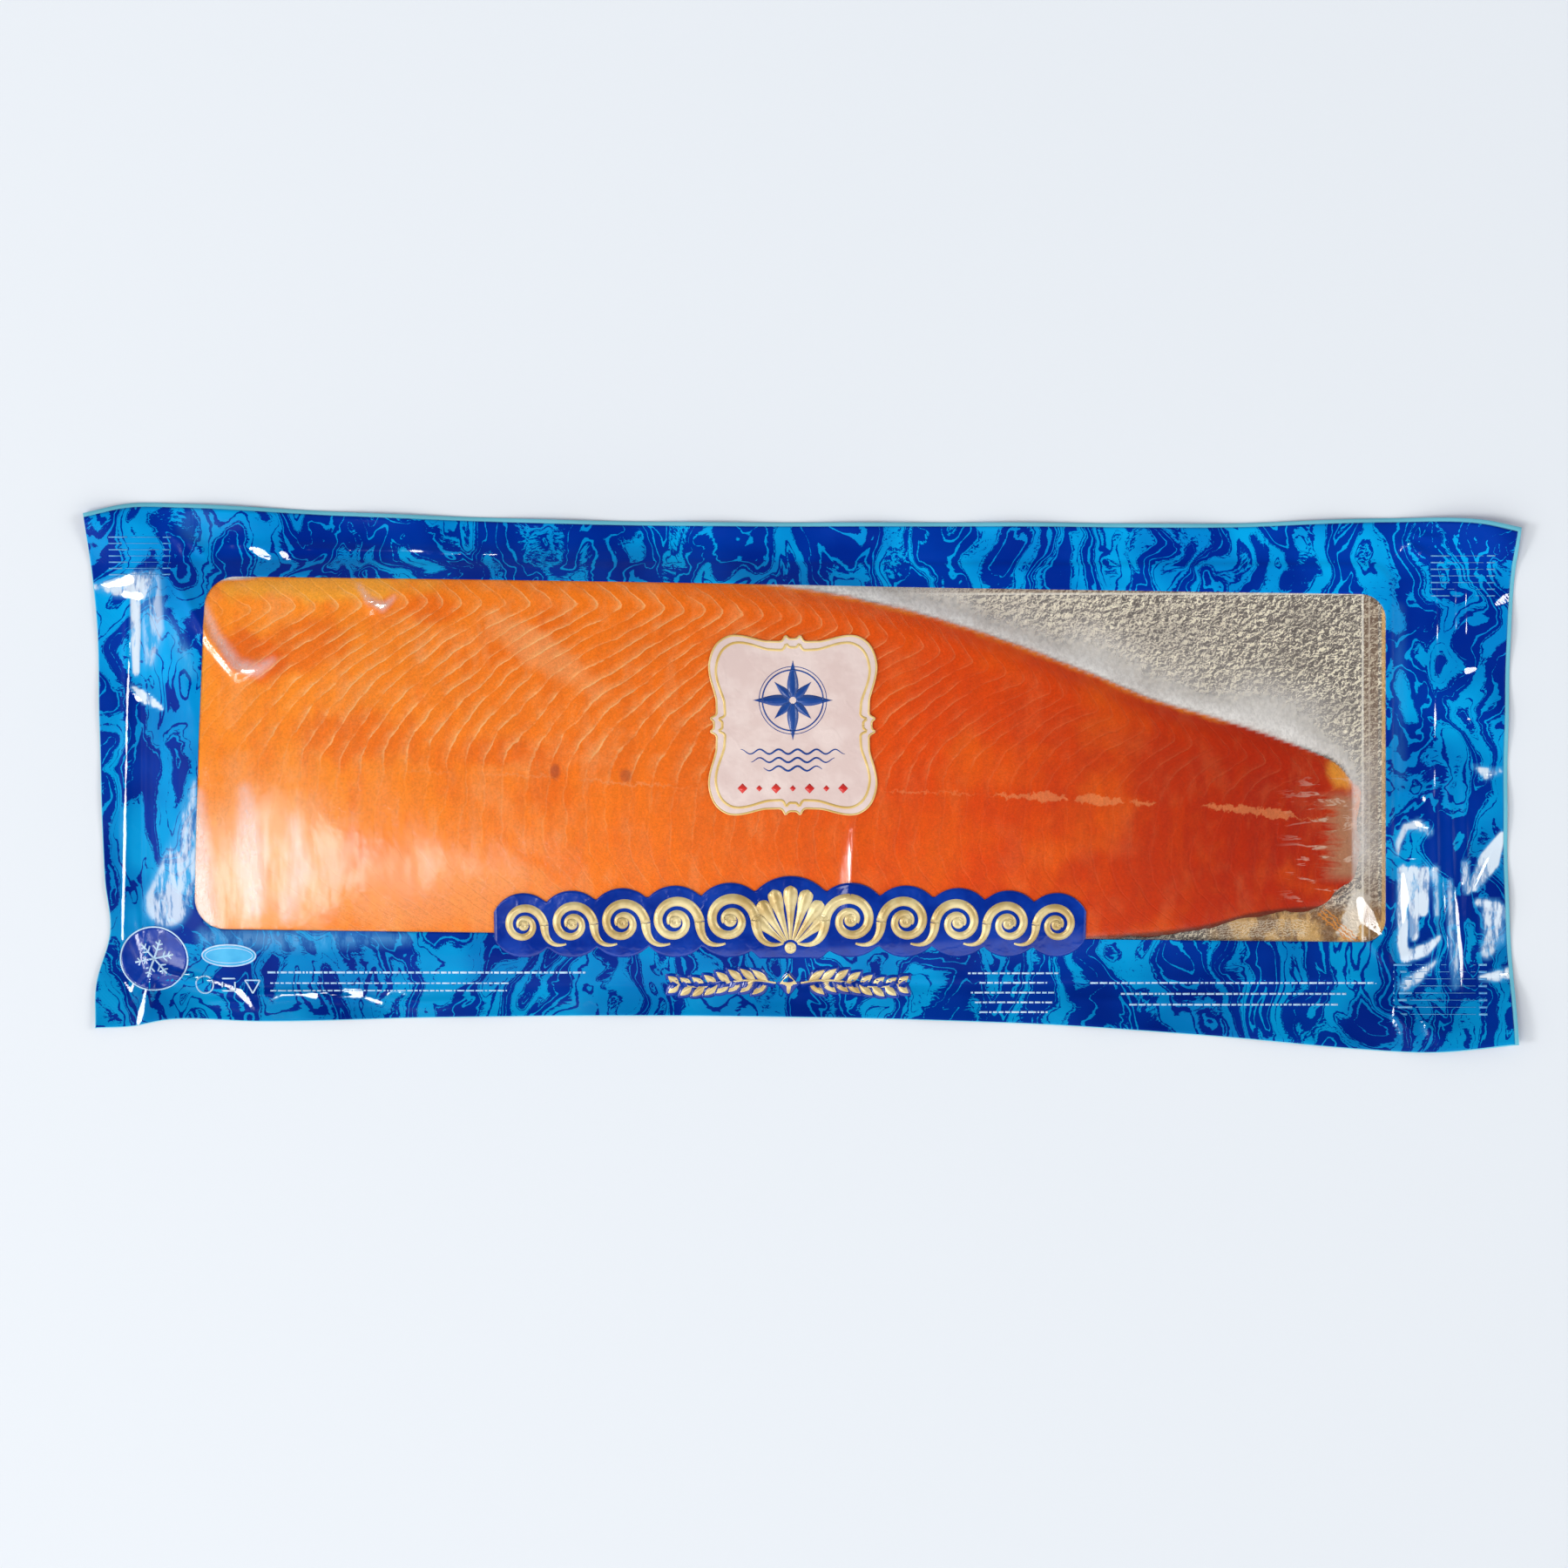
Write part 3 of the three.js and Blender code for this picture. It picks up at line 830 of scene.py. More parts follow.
marble = {
    "fineness": 2.1,
    "warps": [
        {"scale": 10, "reach": 100, "detail": 1.0},
        {"scale": 30, "reach": 24, "detail": 2.0},
    ],
    "turn": -35,
    "stretch": (1, 0.3, 1),
    "hillScale": 13,
    "hillDetail": 2.5,
    "hillRoughness": 0.5,
    "rings": 5.5,
    "lineRate": 1.9,
    "linePhase": 0.9,
    "lineRagged": 0.9,
    "lineScale": 26,
    "lineLow": 0.02,
    "lineHigh": 0.5,
    "raggedScale": 420,
    "ragged": 2.2,
    "levelScale": 9,
    "levelLow": -0.25,
    "levelHigh": 0.85,
    "backEdge": 0.075,
    "backBias": 0.3,
    "dark": colour(0, 38, 140),
    "darkSoft": colour(0, 54, 162),
    "light": colour(2, 128, 202),
    "lightSoft": colour(4, 162, 228),
    # painted reflection: the white and the pale cyan of the sheens painted onto the print
    "paintedSheen": colour(218, 232, 246),
    "hazeAndSheen": colour(84, 176, 232),
    # painted shade and light: how much the print is darkened at the near side and lightened at the far side
    "paintedNearShade": 0.76,
    "paintedFarLight": 1.06,
    "headEdge": -0.27,
    "headBias": -0.5,
    "inside": colour(116, 203, 226),
}

print("shared effects")
filmCrinkle = makeFilmCrinkle()
marbling = makeMarbling()
glintLean = makeGlintLean()


def makePrintedMaterial():
    material, tree = newMaterial("marbledFilm")
    place = objectPlace(tree)
    cloudy = mapRange(tree, noiseOf(tree, place, 22.0, 2.0), 0.36, 0.64)
    pattern = useGroup(tree, marbling, {
        "Place": place,
        "Dark": mixColours(tree, cloudy, marble["dark"], marble["darkSoft"]),
        "Light": mixColours(tree, cloudy, marble["light"], marble["lightSoft"]),
    })
    crinkle = useGroup(tree, filmCrinkle, {"Place": place, "Crease Scale": 55.0, "Dimple Scale": 30.0})
    waves = {"Vector": place, "Scale": 330.0, "Distortion": 0.0}
    knurl = addNode(tree, "ShaderNodeTexWave", waves, bands_direction="DIAGONAL").outputs["Fac"]
    knurl = maths(tree, "MULTIPLY", knurl, attributeOf(tree, "weld"))
    height = maths(tree, "MULTIPLY_ADD", knurl, 0.12, crinkle["Height"])
    glint = useGroup(tree, glintLean, {"Place": place, "Field": attributeOf(tree, "glint")})
    bump = bumped(tree, maths(tree, "MULTIPLY", height, 0.12), 1.0, 0.001, glint["Normal"])

    # painted light and shade: the print darker towards the near side and lighter towards the far side
    across = axesOf(tree, place)["Y"]
    lit = mapRange(tree, across, -0.1, 0.1, marble["paintedNearShade"], marble["paintedFarLight"], "LINEAR")
    shade = vectorMaths(tree, "SCALE", pattern["Color"], scale=lit)
    # painted reflection: pale sheens painted onto the print, broken up by wrinkles
    wrinkles = noiseOf(tree, stretched(tree, place, (1, 0.25, 1), 10), 190.0, 4.0, 0.65)
    paintedSheen = product(tree, attributeOf(tree, "paintedSheen"), mapRange(tree, wrinkles, 0.38, 0.56, 0.6, 1.25))
    paleLayer = mixColours(tree, mapRange(tree, paintedSheen, 0.3, 0.85), marble["hazeAndSheen"], marble["paintedSheen"])
    shade = mixColours(tree, paintedSheen, shade, paleLayer)
    shade = mixColours(tree, attributeOf(tree, "inside"), shade, marble["inside"])
    showShader(tree, addPrincipled(tree, {
        "Base Color": shade,
        "Roughness": mapRange(tree, crinkle["Height"], 0.3, 0.9, 0.3, 0.4),
        "Specular IOR Level": 0.04,
        "Coat Weight": maths(tree, "MULTIPLY_ADD", glint["Mask"], 0.97, 0.03),
        "Coat Roughness": 0.05,
        "Normal": bump,
        "Coat Normal": bump,
    }))
    return material


def makeClearMaterial():
    material, tree = newMaterial("clearFilm")
    place = objectPlace(tree)
    crinkle = useGroup(tree, filmCrinkle, {"Place": place, "Crease Scale": 70.0, "Dimple Scale": 38.0})
    glint = useGroup(tree, glintLean, {"Place": place, "Field": attributeOf(tree, "glint")})
    bump = bumped(tree, maths(tree, "MULTIPLY", crinkle["Height"], 0.05), 1.0, 0.001, glint["Normal"])
    clear = addNode(tree, "ShaderNodeBsdfTransparent", {"Color": (0.99, 0.995, 0.995, 1)})
    inputs = {"Color": (1, 1, 1, 1), "Roughness": 0.16, "Normal": bump}
    gloss = addNode(tree, "ShaderNodeBsdfGlossy", inputs)
    fresnel = addNode(tree, "ShaderNodeFresnel", {"IOR": 1.5, "Normal": bump}).outputs[0]
    backwards = addNode(tree, "ShaderNodeNewGeometry").outputs["Backfacing"]
    streaks = noiseOf(tree, stretched(tree, place, (1, 0.16, 1), 6), 150.0, 4.0, 0.65)
    mirror = product(
        tree, fresnel, maths(tree, "SUBTRACT", 1.0, backwards),
        mapRange(tree, streaks, 0.36, 0.62, 0.6, 1.8), attributeOf(tree, "sheen"),
    )
    mirror = maths(tree, "MINIMUM", mirror, 0.2)
    glossy = mixShaders(tree, mirror, clear, gloss)
    # the film's milky haze beside the fish's far edge, together with painted reflections on two folds and
    # over the lower left of the flesh
    fibres = noiseOf(tree, stretched(tree, place, (1, 0.6, 1), 30), 520.0, 4.0, 0.7)
    clouds = noiseOf(tree, place, 45.0, 2.0)
    hazeAndSheen = product(
        tree, attributeOf(tree, "hazeAndSheen"),
        mapRange(tree, fibres, 0.32, 0.68, 0.72, 1.12), mapRange(tree, clouds, 0.3, 0.7, 0.75, 1.1),
    )
    paleLayer = addPrincipled(tree, {"Base Color": colour(252, 248, 243), "Roughness": 0.3, "Normal": bump})
    showShader(tree, mixShaders(tree, hazeAndSheen, glossy, paleLayer))
    return material


flesh = {
    "head": colour(255, 142, 36),
    "middle": colour(250, 124, 25),
    "deep": colour(238, 103, 15),
    "late": colour(228, 72, 4),
    "tail": colour(178, 36, 0),
    "gold": colour(250, 176, 60),
    "pale": colour(250, 168, 104),
    "fat": colour(252, 196, 128),
    "side": colour(242, 158, 98),
    "rim": colour(242, 138, 36),
    "grey": colour(172, 132, 98),
    "strand": colour(226, 200, 180),
    "skin": colour(70, 36, 20),
    "bruise": colour(160, 66, 44),
    "stain": colour(196, 112, 60),
}

# Marks on the flesh: what they are, how strong, where, their half lengths, and how they are turned
marks = [
    ("bruise", 0.6, (-117.8, 3.4), (3.4, 4.6), 0),
    ("bruise", 0.5, (-84, 1.2), (3, 3.4), 0),
    ("stain", 0.55, (-262, -44), (13, 8), 0),
    ("stain", 0.4, (-250, -60), (8, 6), 0),
    # painted shade: a darker patch in the hollow beside the fold at the upper left
    ("deep", 0.8, (-262, 58), (17, 13), 0),
    ("deep", 0.6, (-215, 20), (34, 16), 0),
    ("deep", 0.6, (-140, 12), (30, 9), 0),
    ("gold", 0.6, (-236, 92), (58, 9), 0),
    ("gold", 0.45, (-292, 62), (10, 38), 0),
    # painted highlight: a pale slanting band where the film mirrors a lamp
    ("pale", 0.5, (-124, 60), (38, 10), -34),
    ("deep", 0.6, (-178, 80), (20, 8), 0),
    ("gold", 0.6, (259, 5), (9, 11), 0),
    ("deep", 0.6, (-238, 64), (24, 14), 0),
    # painted reflection: these two pale marks over the lower left of the flesh, where the film mirrors a lamp
    ("pale", 0.75, (-256, -34), (44, 40), 0),
    ("pale", 0.45, (-180, -52), (60, 26), 0),
]


def makeFleshMaterial():
    material, tree = newMaterial("salmonFlesh")
    place = objectPlace(tree)
    axes = axesOf(tree, place)
    side = attributeOf(tree, "side")
    rim = attributeOf(tree, "rim")

    # the flesh reddens and darkens towards the tail, with clouds, pale patches and slanting streaks
    clouds = noiseOf(tree, place, 22.0, 3.0, 0.55)
    patches = noiseOf(tree, stretched(tree, place, (1, 0.7, 1), -30), 60.0, 3.0, 0.55)
    streaky = noiseOf(tree, stretched(tree, place, (1, 0.3, 1), -48), 85.0, 4.0, 0.65)
    paling = mapRange(tree, axes["X"], 0.06, -0.1, 0.25, 1.0)
    shade = mixColours(tree, mapRange(tree, axes["X"], -0.24, -0.1), flesh["head"], flesh["middle"])
    for share, tone in (
        (mapRange(tree, axes["X"], -0.12, 0.08), "late"),
        (mapRange(tree, axes["X"], 0.05, 0.24), "tail"),
        (mapRange(tree, clouds, 0.5, 0.72, 0.0, 0.5), "deep"),
        (product(tree, mapRange(tree, patches, 0.5, 0.75, 0.0, 0.3), paling), "pale"),
        (product(tree, mapRange(tree, streaky, 0.5, 0.72, 0.0, 0.35), paling), "deep"),
        (product(tree, mapRange(tree, streaky, 0.46, 0.3, 0.0, 0.22), paling), "pale"),
    ):
        shade = mixColours(tree, share, shade, flesh[tone])
    for tone, share, at, half, turn in marks:
        away = vectorMaths(tree, "SUBTRACT", place, (at[0] * mm, at[1] * mm, 0))
        away = stretched(tree, away, (1, 1, 0), -turn)
        away = vectorMaths(tree, "MULTIPLY", away, (1 / (half[0] * mm), 1 / (half[1] * mm), 0))
        away = swayed(tree, vectorMaths(tree, "LENGTH", away), patches, 1.6)
        shade = mixColours(tree, mapRange(tree, away, 0.5, 1.1, share, 0.0), shade, flesh[tone])

    # lines of fat: a crisp edge with a soft slope before it, wavering, fainter towards the rim and the tail
    wobble = noiseOf(tree, place, 130.0, 3.0, 0.6)
    line = swayed(tree, attributeOf(tree, "line"), noiseOf(tree, place, 26.0, 2.0, 0.5), 1.5)
    line = swayed(tree, line, wobble, 0.4)
    turn = maths(tree, "FRACT", line)
    fall = mapRange(tree, turn, 0.94, 1.0, 1.0, 0.0)
    sharp = product(tree, mapRange(tree, turn, 0.82, 0.93), fall)
    soft = product(tree, mapRange(tree, turn, 0.35, 0.95), fall)
    uneven = noiseOf(tree, stretched(tree, place, (1, 1.6, 1), -40), 52.0, 4.0, 0.65)
    strength = product(
        tree, mapRange(tree, side, -4.0, 20.0, 0.16, 1.0), mapRange(tree, axes["X"], 0.12, -0.1, 0.07, 1.0),
        mapRange(tree, axes["X"], -0.278, -0.24, 0.2, 1.0), mapRange(tree, uneven, 0.36, 0.6, 0.08, 1.0),
        mapRange(tree, rim, 3.0, 22.0, 0.3, 1.0),
    )
    shade = mixColours(tree, product(tree, soft, strength, 0.3), shade, flesh["fat"])
    shade = mixColours(tree, product(tree, sharp, strength, 0.6), shade, flesh["fat"])

    # the sideline, with ragged edges
    teeth = noiseOf(tree, stretched(tree, place, (1, 0.8, 1)), 260.0, 4.0, 0.7)
    offSide = maths(tree, "ABSOLUTE", swayed(tree, side, teeth, 9.0))
    offSide = maths(tree, "SUBTRACT", attributeOf(tree, "sideWidth"), offSide)
    shade = mixColours(tree, mapRange(tree, offSide, -0.1, 0.9, 0.0, 0.42), shade, flesh["side"])

    # the torn tail: a grey tip with pale strands pulled out of it
    strands = noiseOf(tree, stretched(tree, place, (0.2, 1, 1), 8), 330.0, 3.0, 0.6, distortion=0.8)
    tailTip = mapRange(tree, maths(tree, "MULTIPLY_ADD", strands, 0.034, axes["X"]), 0.262, 0.277)
    nearTip = mapRange(tree, axes["Y"], -0.004, -0.012)
    tailTip = product(tree, tailTip, nearTip, mapRange(tree, axes["Y"], -0.052, -0.045), 0.75)
    shade = mixColours(tree, tailTip, shade, flesh["grey"])
    pulled = product(
        tree, mapRange(tree, strands, 0.57, 0.63), mapRange(tree, axes["X"], 0.225, 0.25),
        mapRange(tree, axes["Y"], 0.004, -0.006), 0.45,
    )
    shade = mixColours(tree, pulled, shade, flesh["strand"])

    # golden fat along the far rim, and the edge of the skin along the near one
    golden = mapRange(tree, swayed(tree, rim, wobble, 5.0), 0.8, 4.2, 0.75, 0.0)
    shade = mixColours(tree, product(tree, golden, mapRange(tree, side, -6.0, 6.0)), shade, flesh["rim"])
    skinEdge = product(
        tree, mapRange(tree, rim, 0.6, 2.6, 1.0, 0.0), mapRange(tree, side, -20.0, -30.0),
        mapRange(tree, axes["X"], 0.1, 0.15), 0.8,
    )
    shade = mixColours(tree, skinEdge, shade, flesh["skin"])

    # fibres that follow the lines, and a fine grain
    across = maths(tree, "MULTIPLY", side, 0.035)
    alongLines = addNode(tree, "ShaderNodeCombineXYZ", {"X": line, "Y": across}).outputs[0]
    fibres = noiseOf(tree, alongLines, 5.0, 4.0, 0.65)
    grain = noiseOf(tree, place, 900.0, 2.0, 0.7)
    shade = vectorMaths(tree, "SCALE", shade, scale=mapRange(tree, fibres, 0.3, 0.7, 0.93, 1.07, "LINEAR"))
    shade = vectorMaths(tree, "SCALE", shade, scale=mapRange(tree, grain, 0.25, 0.75, 0.86, 1.12, "LINEAR"))
    relief = maths(tree, "MULTIPLY_ADD", sharp, -0.5, maths(tree, "MULTIPLY", grain, 0.35))
    showShader(tree, addPrincipled(tree, {
        "Base Color": shade,
        "Roughness": mapRange(tree, grain, 0.2, 0.8, 0.5, 0.65),
        "Specular IOR Level": 0.15,
        "Normal": bumped(tree, relief, 0.4, 0.0006),
    }))
    return material


card = {
    "low": 0.4,
    "top": 1.55,
    "cell": 2.2,
    "rimIn": 8,
    # centre, half lengths, turn, tone, share, and how close its parallel lines are, per metre over a turn
    "creases": [
        ((266, -66), (13, 5.5), 70, "rimLine", 0.75, 0),
        ((258.5, -72), (13, 3.4), -41, "orange", 0.85, 3000),
        ((222, -73), (24, 5), 2, "glint", 0.5, 5200),
    ],
    # how far in, half width, share and tone
    "rimBands": [
        (9.8, 3.5, 0.4, "brown"), (13.8, 0.5, 0.7, "rimLine"),
        (10.6, 0.4, 0.5, "silver"), (3.7, 0.9, 0.8, "gold"),
    ],
    "rimDepth": 0.5,
    "rimWidth": 3,
    "past": 3,  # how far its grid goes past its outline before the cut
    "cornerSteps": 10,
    "blockHeight": 20,
}

boardFinish = {
    "silver": colour(222, 207, 190),
    "glint": colour(255, 243, 218),
    "shadow": colour(106, 97, 92),
    "rimLine": colour(250, 240, 226),
    "gold": colour(226, 176, 104),
    "brown": colour(140, 96, 52),
    "orange": colour(236, 150, 56),
}


def makeBoardMaterial():
    material, tree = newMaterial("metallisedCard")
    place = objectPlace(tree)
    axes = axesOf(tree, place)

    # crinkled foil, with painted light and shade: lighter where its flakes slope one way and darker where
    # they slope the other
    warp = noiseOf(tree, place, 230.0, 2.0, 0.6, "Color")
    warped = vectorMaths(tree, "ADD", place, vectorMaths(tree, "SCALE", warp, scale=0.0042))
    nudged = vectorMaths(tree, "ADD", warped, (-0.00034, 0.00042, 0))
    flakes, beyond = (
        noiseOf(tree, stretched(tree, at, (0.8, 1, 1), 35), 400.0, 4.0, 0.62) for at in (warped, nudged)
    )
    slope = maths(tree, "SUBTRACT", flakes, beyond)
    streaks = noiseOf(tree, stretched(tree, place, (0.4, 1, 1), -50), 50.0, 2.0, 0.5)
    broad = mapRange(tree, noiseOf(tree, place, 14.0, 1.0), 0.35, 0.65, 0.0, 0.25)
    tailward = mapRange(tree, axes["X"], 0.1, 0.27, 0.0, 0.44)
    shade = mapRange(tree, slope, -0.056, 0.03)
    shade = mixColours(tree, shade, boardFinish["shadow"], boardFinish["silver"])
    # painted shade: the foil darker towards the tail; also darker in broad random patches
    shade = mixColours(tree, maths(tree, "ADD", broad, tailward), shade, boardFinish["shadow"])
    # painted glints on the slopes that face the painted light
    glint = product(tree, mapRange(tree, slope, 0.012, 0.055), mapRange(tree, streaks, 0.3, 0.6, 0.5, 1.0))
    shade = mixColours(tree, glint, shade, boardFinish["glint"])

    # golden folds in the corner by the tail, then single creases and the bands of the pressed rim
    nearCorner = mapRange(tree, axes["Y"], -0.058, -0.066)
    corner = product(tree, mapRange(tree, axes["X"], 0.19, 0.21), nearCorner, 0.85)
    leaf = noiseOf(tree, stretched(tree, place, (1, 0.5, 1), 20), 120.0, 3.0, 0.6)
    folded = mixColours(tree, mapRange(tree, leaf, 0.42, 0.58), boardFinish["brown"], boardFinish["gold"])
    shade = mixColours(tree, corner, shade, folded)
    for at, half, turn, tone, share, lined in card["creases"]:
        away = vectorMaths(tree, "SUBTRACT", place, (at[0] * mm, at[1] * mm, 0))
        away = axesOf(tree, stretched(tree, away, (1, 1, 1), -turn))
        along = maths(tree, "ABSOLUTE", away["X"])
        across = swayed(tree, away["Y"], flakes, 0.006)
        long, wide = half[0] * mm, half[1] * mm
        spot = mapRange(tree, along, long * 0.8, long, share, 0.0)
        offLine = maths(tree, "ABSOLUTE", across)
        spot = product(tree, spot, mapRange(tree, offLine, wide * 0.7, wide, 1.0, 0.0))
        if lined:
            ridges = maths(tree, "SINE", maths(tree, "MULTIPLY", across, lined))
            spot = product(tree, spot, mapRange(tree, ridges, 0.0, 0.5))
        shade = mixColours(tree, spot, shade, boardFinish[tone])
    inset = attributeOf(tree, "inset")
    for at, half, share, tone in card["rimBands"]:
        off = maths(tree, "ABSOLUTE", maths(tree, "SUBTRACT", inset, at))
        band = mapRange(tree, off, half - 0.25, half + 0.25, share, 0.0)
        shade = mixColours(tree, band, shade, boardFinish[tone])
    showShader(tree, addPrincipled(tree, {
        "Base Color": shade,
        "Metallic": 0.35,
        "Roughness": mapRange(tree, flakes, 0.3, 0.7, 0.5, 0.32),
        "Normal": bumped(tree, flakes, 0.8, 0.0012),
    }))
    return material


def makeInkMaterial(name, shadeLow, shadeHigh, roughness=0.2, metallic=0.0, coat=0.03):
    # printed ink under the gloss of the film, uneven from one place to another
    material, tree = newMaterial(name)
    place = objectPlace(tree)
    crinkle = useGroup(tree, filmCrinkle, {"Place": place, "Crease Scale": 70.0, "Dimple Scale": 38.0})
    uneven = noiseOf(tree, place, 60.0, 3.0, 0.6)
    share = mapRange(tree, uneven, 0.35, 0.65)
    showShader(tree, addPrincipled(tree, {
        "Base Color": mixColours(tree, share, colour(*shadeLow), colour(*shadeHigh)),
        "Metallic": metallic,
        "Roughness": mapRange(tree, uneven, 0.3, 0.7, roughness, roughness + 0.08),
        "Coat Weight": coat,
        "Coat Roughness": 0.08,
        "Normal": bumped(tree, crinkle["Height"], 0.2, 0.001),
    }))
    return material


print("materials")
marbledFilm = makePrintedMaterial()
clearFilm = makeClearMaterial()
salmonFlesh = makeFleshMaterial()
metallisedCard = makeBoardMaterial()
goldInk = makeInkMaterial("goldInk", (196, 166, 104), (232, 214, 160), 0.3, 0.25, 0.15)
paleGoldInk = makeInkMaterial("paleGoldInk", (216, 178, 100), (238, 208, 140), 0.3, 0.1, 0.15)
navyInk = makeInkMaterial("navyInk", (2, 40, 138), (6, 56, 160), 0.14)
labelInk = makeInkMaterial("labelInk", (226, 202, 196), (236, 216, 210))
lineInk = makeInkMaterial("lineInk", (24, 62, 138), (34, 76, 152))
redInk = makeInkMaterial("redInk", (206, 44, 40), (218, 58, 50))
whiteInk = makeInkMaterial("whiteInk", (160, 198, 232), (196, 222, 244))
faintInk = makeInkMaterial("faintInk", (60, 140, 206), (104, 172, 222))
paleInk = makeInkMaterial("paleInk", (40, 160, 216), (70, 180, 228))


# The bag: its back film, and the front film cut in two along the edge of the window

film = {
    "cell": 1.5,
    "endCell": 0.9,  # finer along the bag's last stretch at each end
    "endLength": 58,
    "thickness": 0.35,
    "backCell": 3.2,
    "frontInset": {"head": 0.4, "tail": 2.0, "near": 0.4, "far": 2.0},
    "backInset": {"head": 0.0, "tail": 0.0, "near": 0.0, "far": 0.0},
    "weld": 14,
    "weldSoft": 4,
    "weldStart": 6,
}

window = {
    "corners": [(-291.5, -72.4), (281.2, -79.2), (281.3, 88.4), (-285.5, 96.8)],
    "radii": [15, 11, 12, 14],
    "steps": 12,
    "height": 120,
}


def makeBackFilm():
    columns = round(2 * bag["halfLength"] / film["backCell"])
    rows = round(2 * bag["halfWidth"] / film["backCell"])

    def shape(u, v):
        x, y = placeInBag(u, v, film["backInset"])
        return x, y, sealLift(x, y) + film["thickness"]

    piece = addGrid("backFilm", columns, rows, shape)
    count = len(piece.data.vertices)
    thicken(piece, film["thickness"])
    inside = np.arange(len(piece.data.vertices)) < count
    setAttributes(piece, {"inside": inside, "glint": -glintFar, "paintedSheen": 0})
    finish(piece, marbledFilm)


def makeFrontFilm():
    endShare = film["endLength"] / bag["halfLength"]
    endColumns = round(film["endLength"] / film["endCell"])
    middleColumns = round(2 * (bag["halfLength"] - film["endLength"]) / film["cell"])
    columns = middleColumns + 2 * endColumns
    rows = round(2 * bag["halfWidth"] / film["cell"])
    stops = [0, endColumns, endColumns + middleColumns, columns]

    def shape(u, v):
        u = np.interp((u + 1) / 2 * columns, stops, [-1, endShare - 1, 1 - endShare, 1])
        x, y = placeInBag(u, v, film["frontInset"])
        return x, y, filmSurface(x, y)

    piece = addGrid("frontFilm", columns, rows, shape)
    thicken(piece, film["thickness"])
    return piece


def cutToPrism(pieces, corners, radii, steps, height):
    # cuts the pieces, each with its own operation, by a plane drawn out to the corners, its corners rounded
    # one by one, and raised to a block
    bpy.ops.object.select_all(action="DESELECT")
    bpy.ops.mesh.primitive_plane_add(size=2)
    block = bpy.context.object
    places = {(-1, -1): 0, (1, -1): 1, (1, 1): 2, (-1, 1): 3}
    for vertex in block.data.vertices:
        k = places[(round(vertex.co.x), round(vertex.co.y))]
        vertex.co = (corners[k][0] * mm, corners[k][1] * mm, -height * mm / 2)
    for corner, radius in zip(corners, radii):
        bpy.ops.object.mode_set(mode="EDIT")
        bpy.ops.mesh.select_all(action="DESELECT")
        bpy.ops.object.mode_set(mode="OBJECT")
        for vertex in block.data.vertices:
            away = math.hypot(vertex.co.x / mm - corner[0], vertex.co.y / mm - corner[1])
            vertex.select = away < 0.01
        bpy.ops.object.mode_set(mode="EDIT")
        bpy.ops.mesh.select_mode(type="VERT")
        bpy.ops.mesh.bevel(affect="VERTICES", offset=radius * mm, segments=steps, profile=0.5)
        bpy.ops.object.mode_set(mode="OBJECT")
    bpy.ops.object.mode_set(mode="EDIT")
    bpy.ops.mesh.select_all(action="SELECT")
    bpy.ops.mesh.extrude_region_move(TRANSFORM_OT_translate={"value": (0, 0, height * mm)})
    bpy.ops.mesh.select_all(action="SELECT")
    bpy.ops.mesh.normals_make_consistent(inside=False)
    bpy.ops.object.mode_set(mode="OBJECT")
    for piece, operation in pieces:
        cutWith(piece, block, operation)
    bpy.data.objects.remove(block)


# Milky film beside the fish's far edge, where it is drawn down to the board
mist = {
    "share": 0.84,
    "reach": 9.5,
    "reachSway": 4,
    "swaySize": 26,
    "seed": 5,
    "fall": 1.1,
    "edge": (-1.6, 0.5),  # from where to where it sets in, past the edge of the fish
    "early": 2.6,  # how much sooner it does along the tail
    "earlyAlong": (180, 235),
    "thinAlong": (272, 236),
    "thin": 0.35,
    "sheenLoss": 0.85,  # how much less the film mirrors over the fish's far side
    "sheenIn": (28, 10),
}


def makeFrontPieces():
    clear = rename(makeFrontFilm(), "windowFilm")
    printed = copyPiece(clear, "printedFilm")
    pieces = [(printed, "DIFFERENCE"), (clear, "INTERSECT")]
    cutToPrism(pieces, window["corners"], window["radii"], window["steps"], window["height"])

    x, y, _ = verticesOf(printed)
    weldTo = film["weld"] - film["weldSoft"]
    atHead = smoothStep(film["weld"], weldTo, x + bag["halfLength"] - film["weldStart"])
    atTail = smoothStep(film["weld"], weldTo, bag["halfLength"] - x)
    setAttributes(printed, {
        "weld": np.maximum(atHead, atTail),
        "inside": 0,
        "glint": glintField(x, y),
        # painted reflections on the print
        "paintedSheen": paintedSheenField(x, y, paintedSheens),
    })

    x, y, _ = verticesOf(clear)
    out = -insideFish(x, y)
    reach = mist["reach"] + mist["reachSway"] * softNoise(x, y, mist["swaySize"], mist["seed"])
    start = out + mist["early"] * smoothStep(*mist["earlyAlong"], x)
    edge = np.exp(-(np.maximum(out - 1, 0) / reach) ** mist["fall"]) * smoothStep(*mist["edge"], start)
    farSide = smoothStep(-40, 0, y - (fish["farSide"](x) + fish["nearSide"](x)) / 2)
    hazeAndSheen = mist["share"] * edge * farSide * mix(mist["thin"], 1, smoothStep(*mist["thinAlong"], x))
    glint = glintField(x, y)
    sheen = 1 - mist["sheenLoss"] * smoothStep(*mist["sheenIn"], -out) * farSide
    setAttributes(clear, {
        # the film's milky haze beside the fish, and the painted reflections of the window's film
        "hazeAndSheen": np.maximum(hazeAndSheen, paintedSheenField(x, y, paintedWindowSheens)),
        "glint": glint,
        "sheen": np.where(glint > -1, 1, sheen),
    })
    finish(printed, marbledFilm)
    finish(clear, clearFilm)


# The board: metallised card with a pressed rim

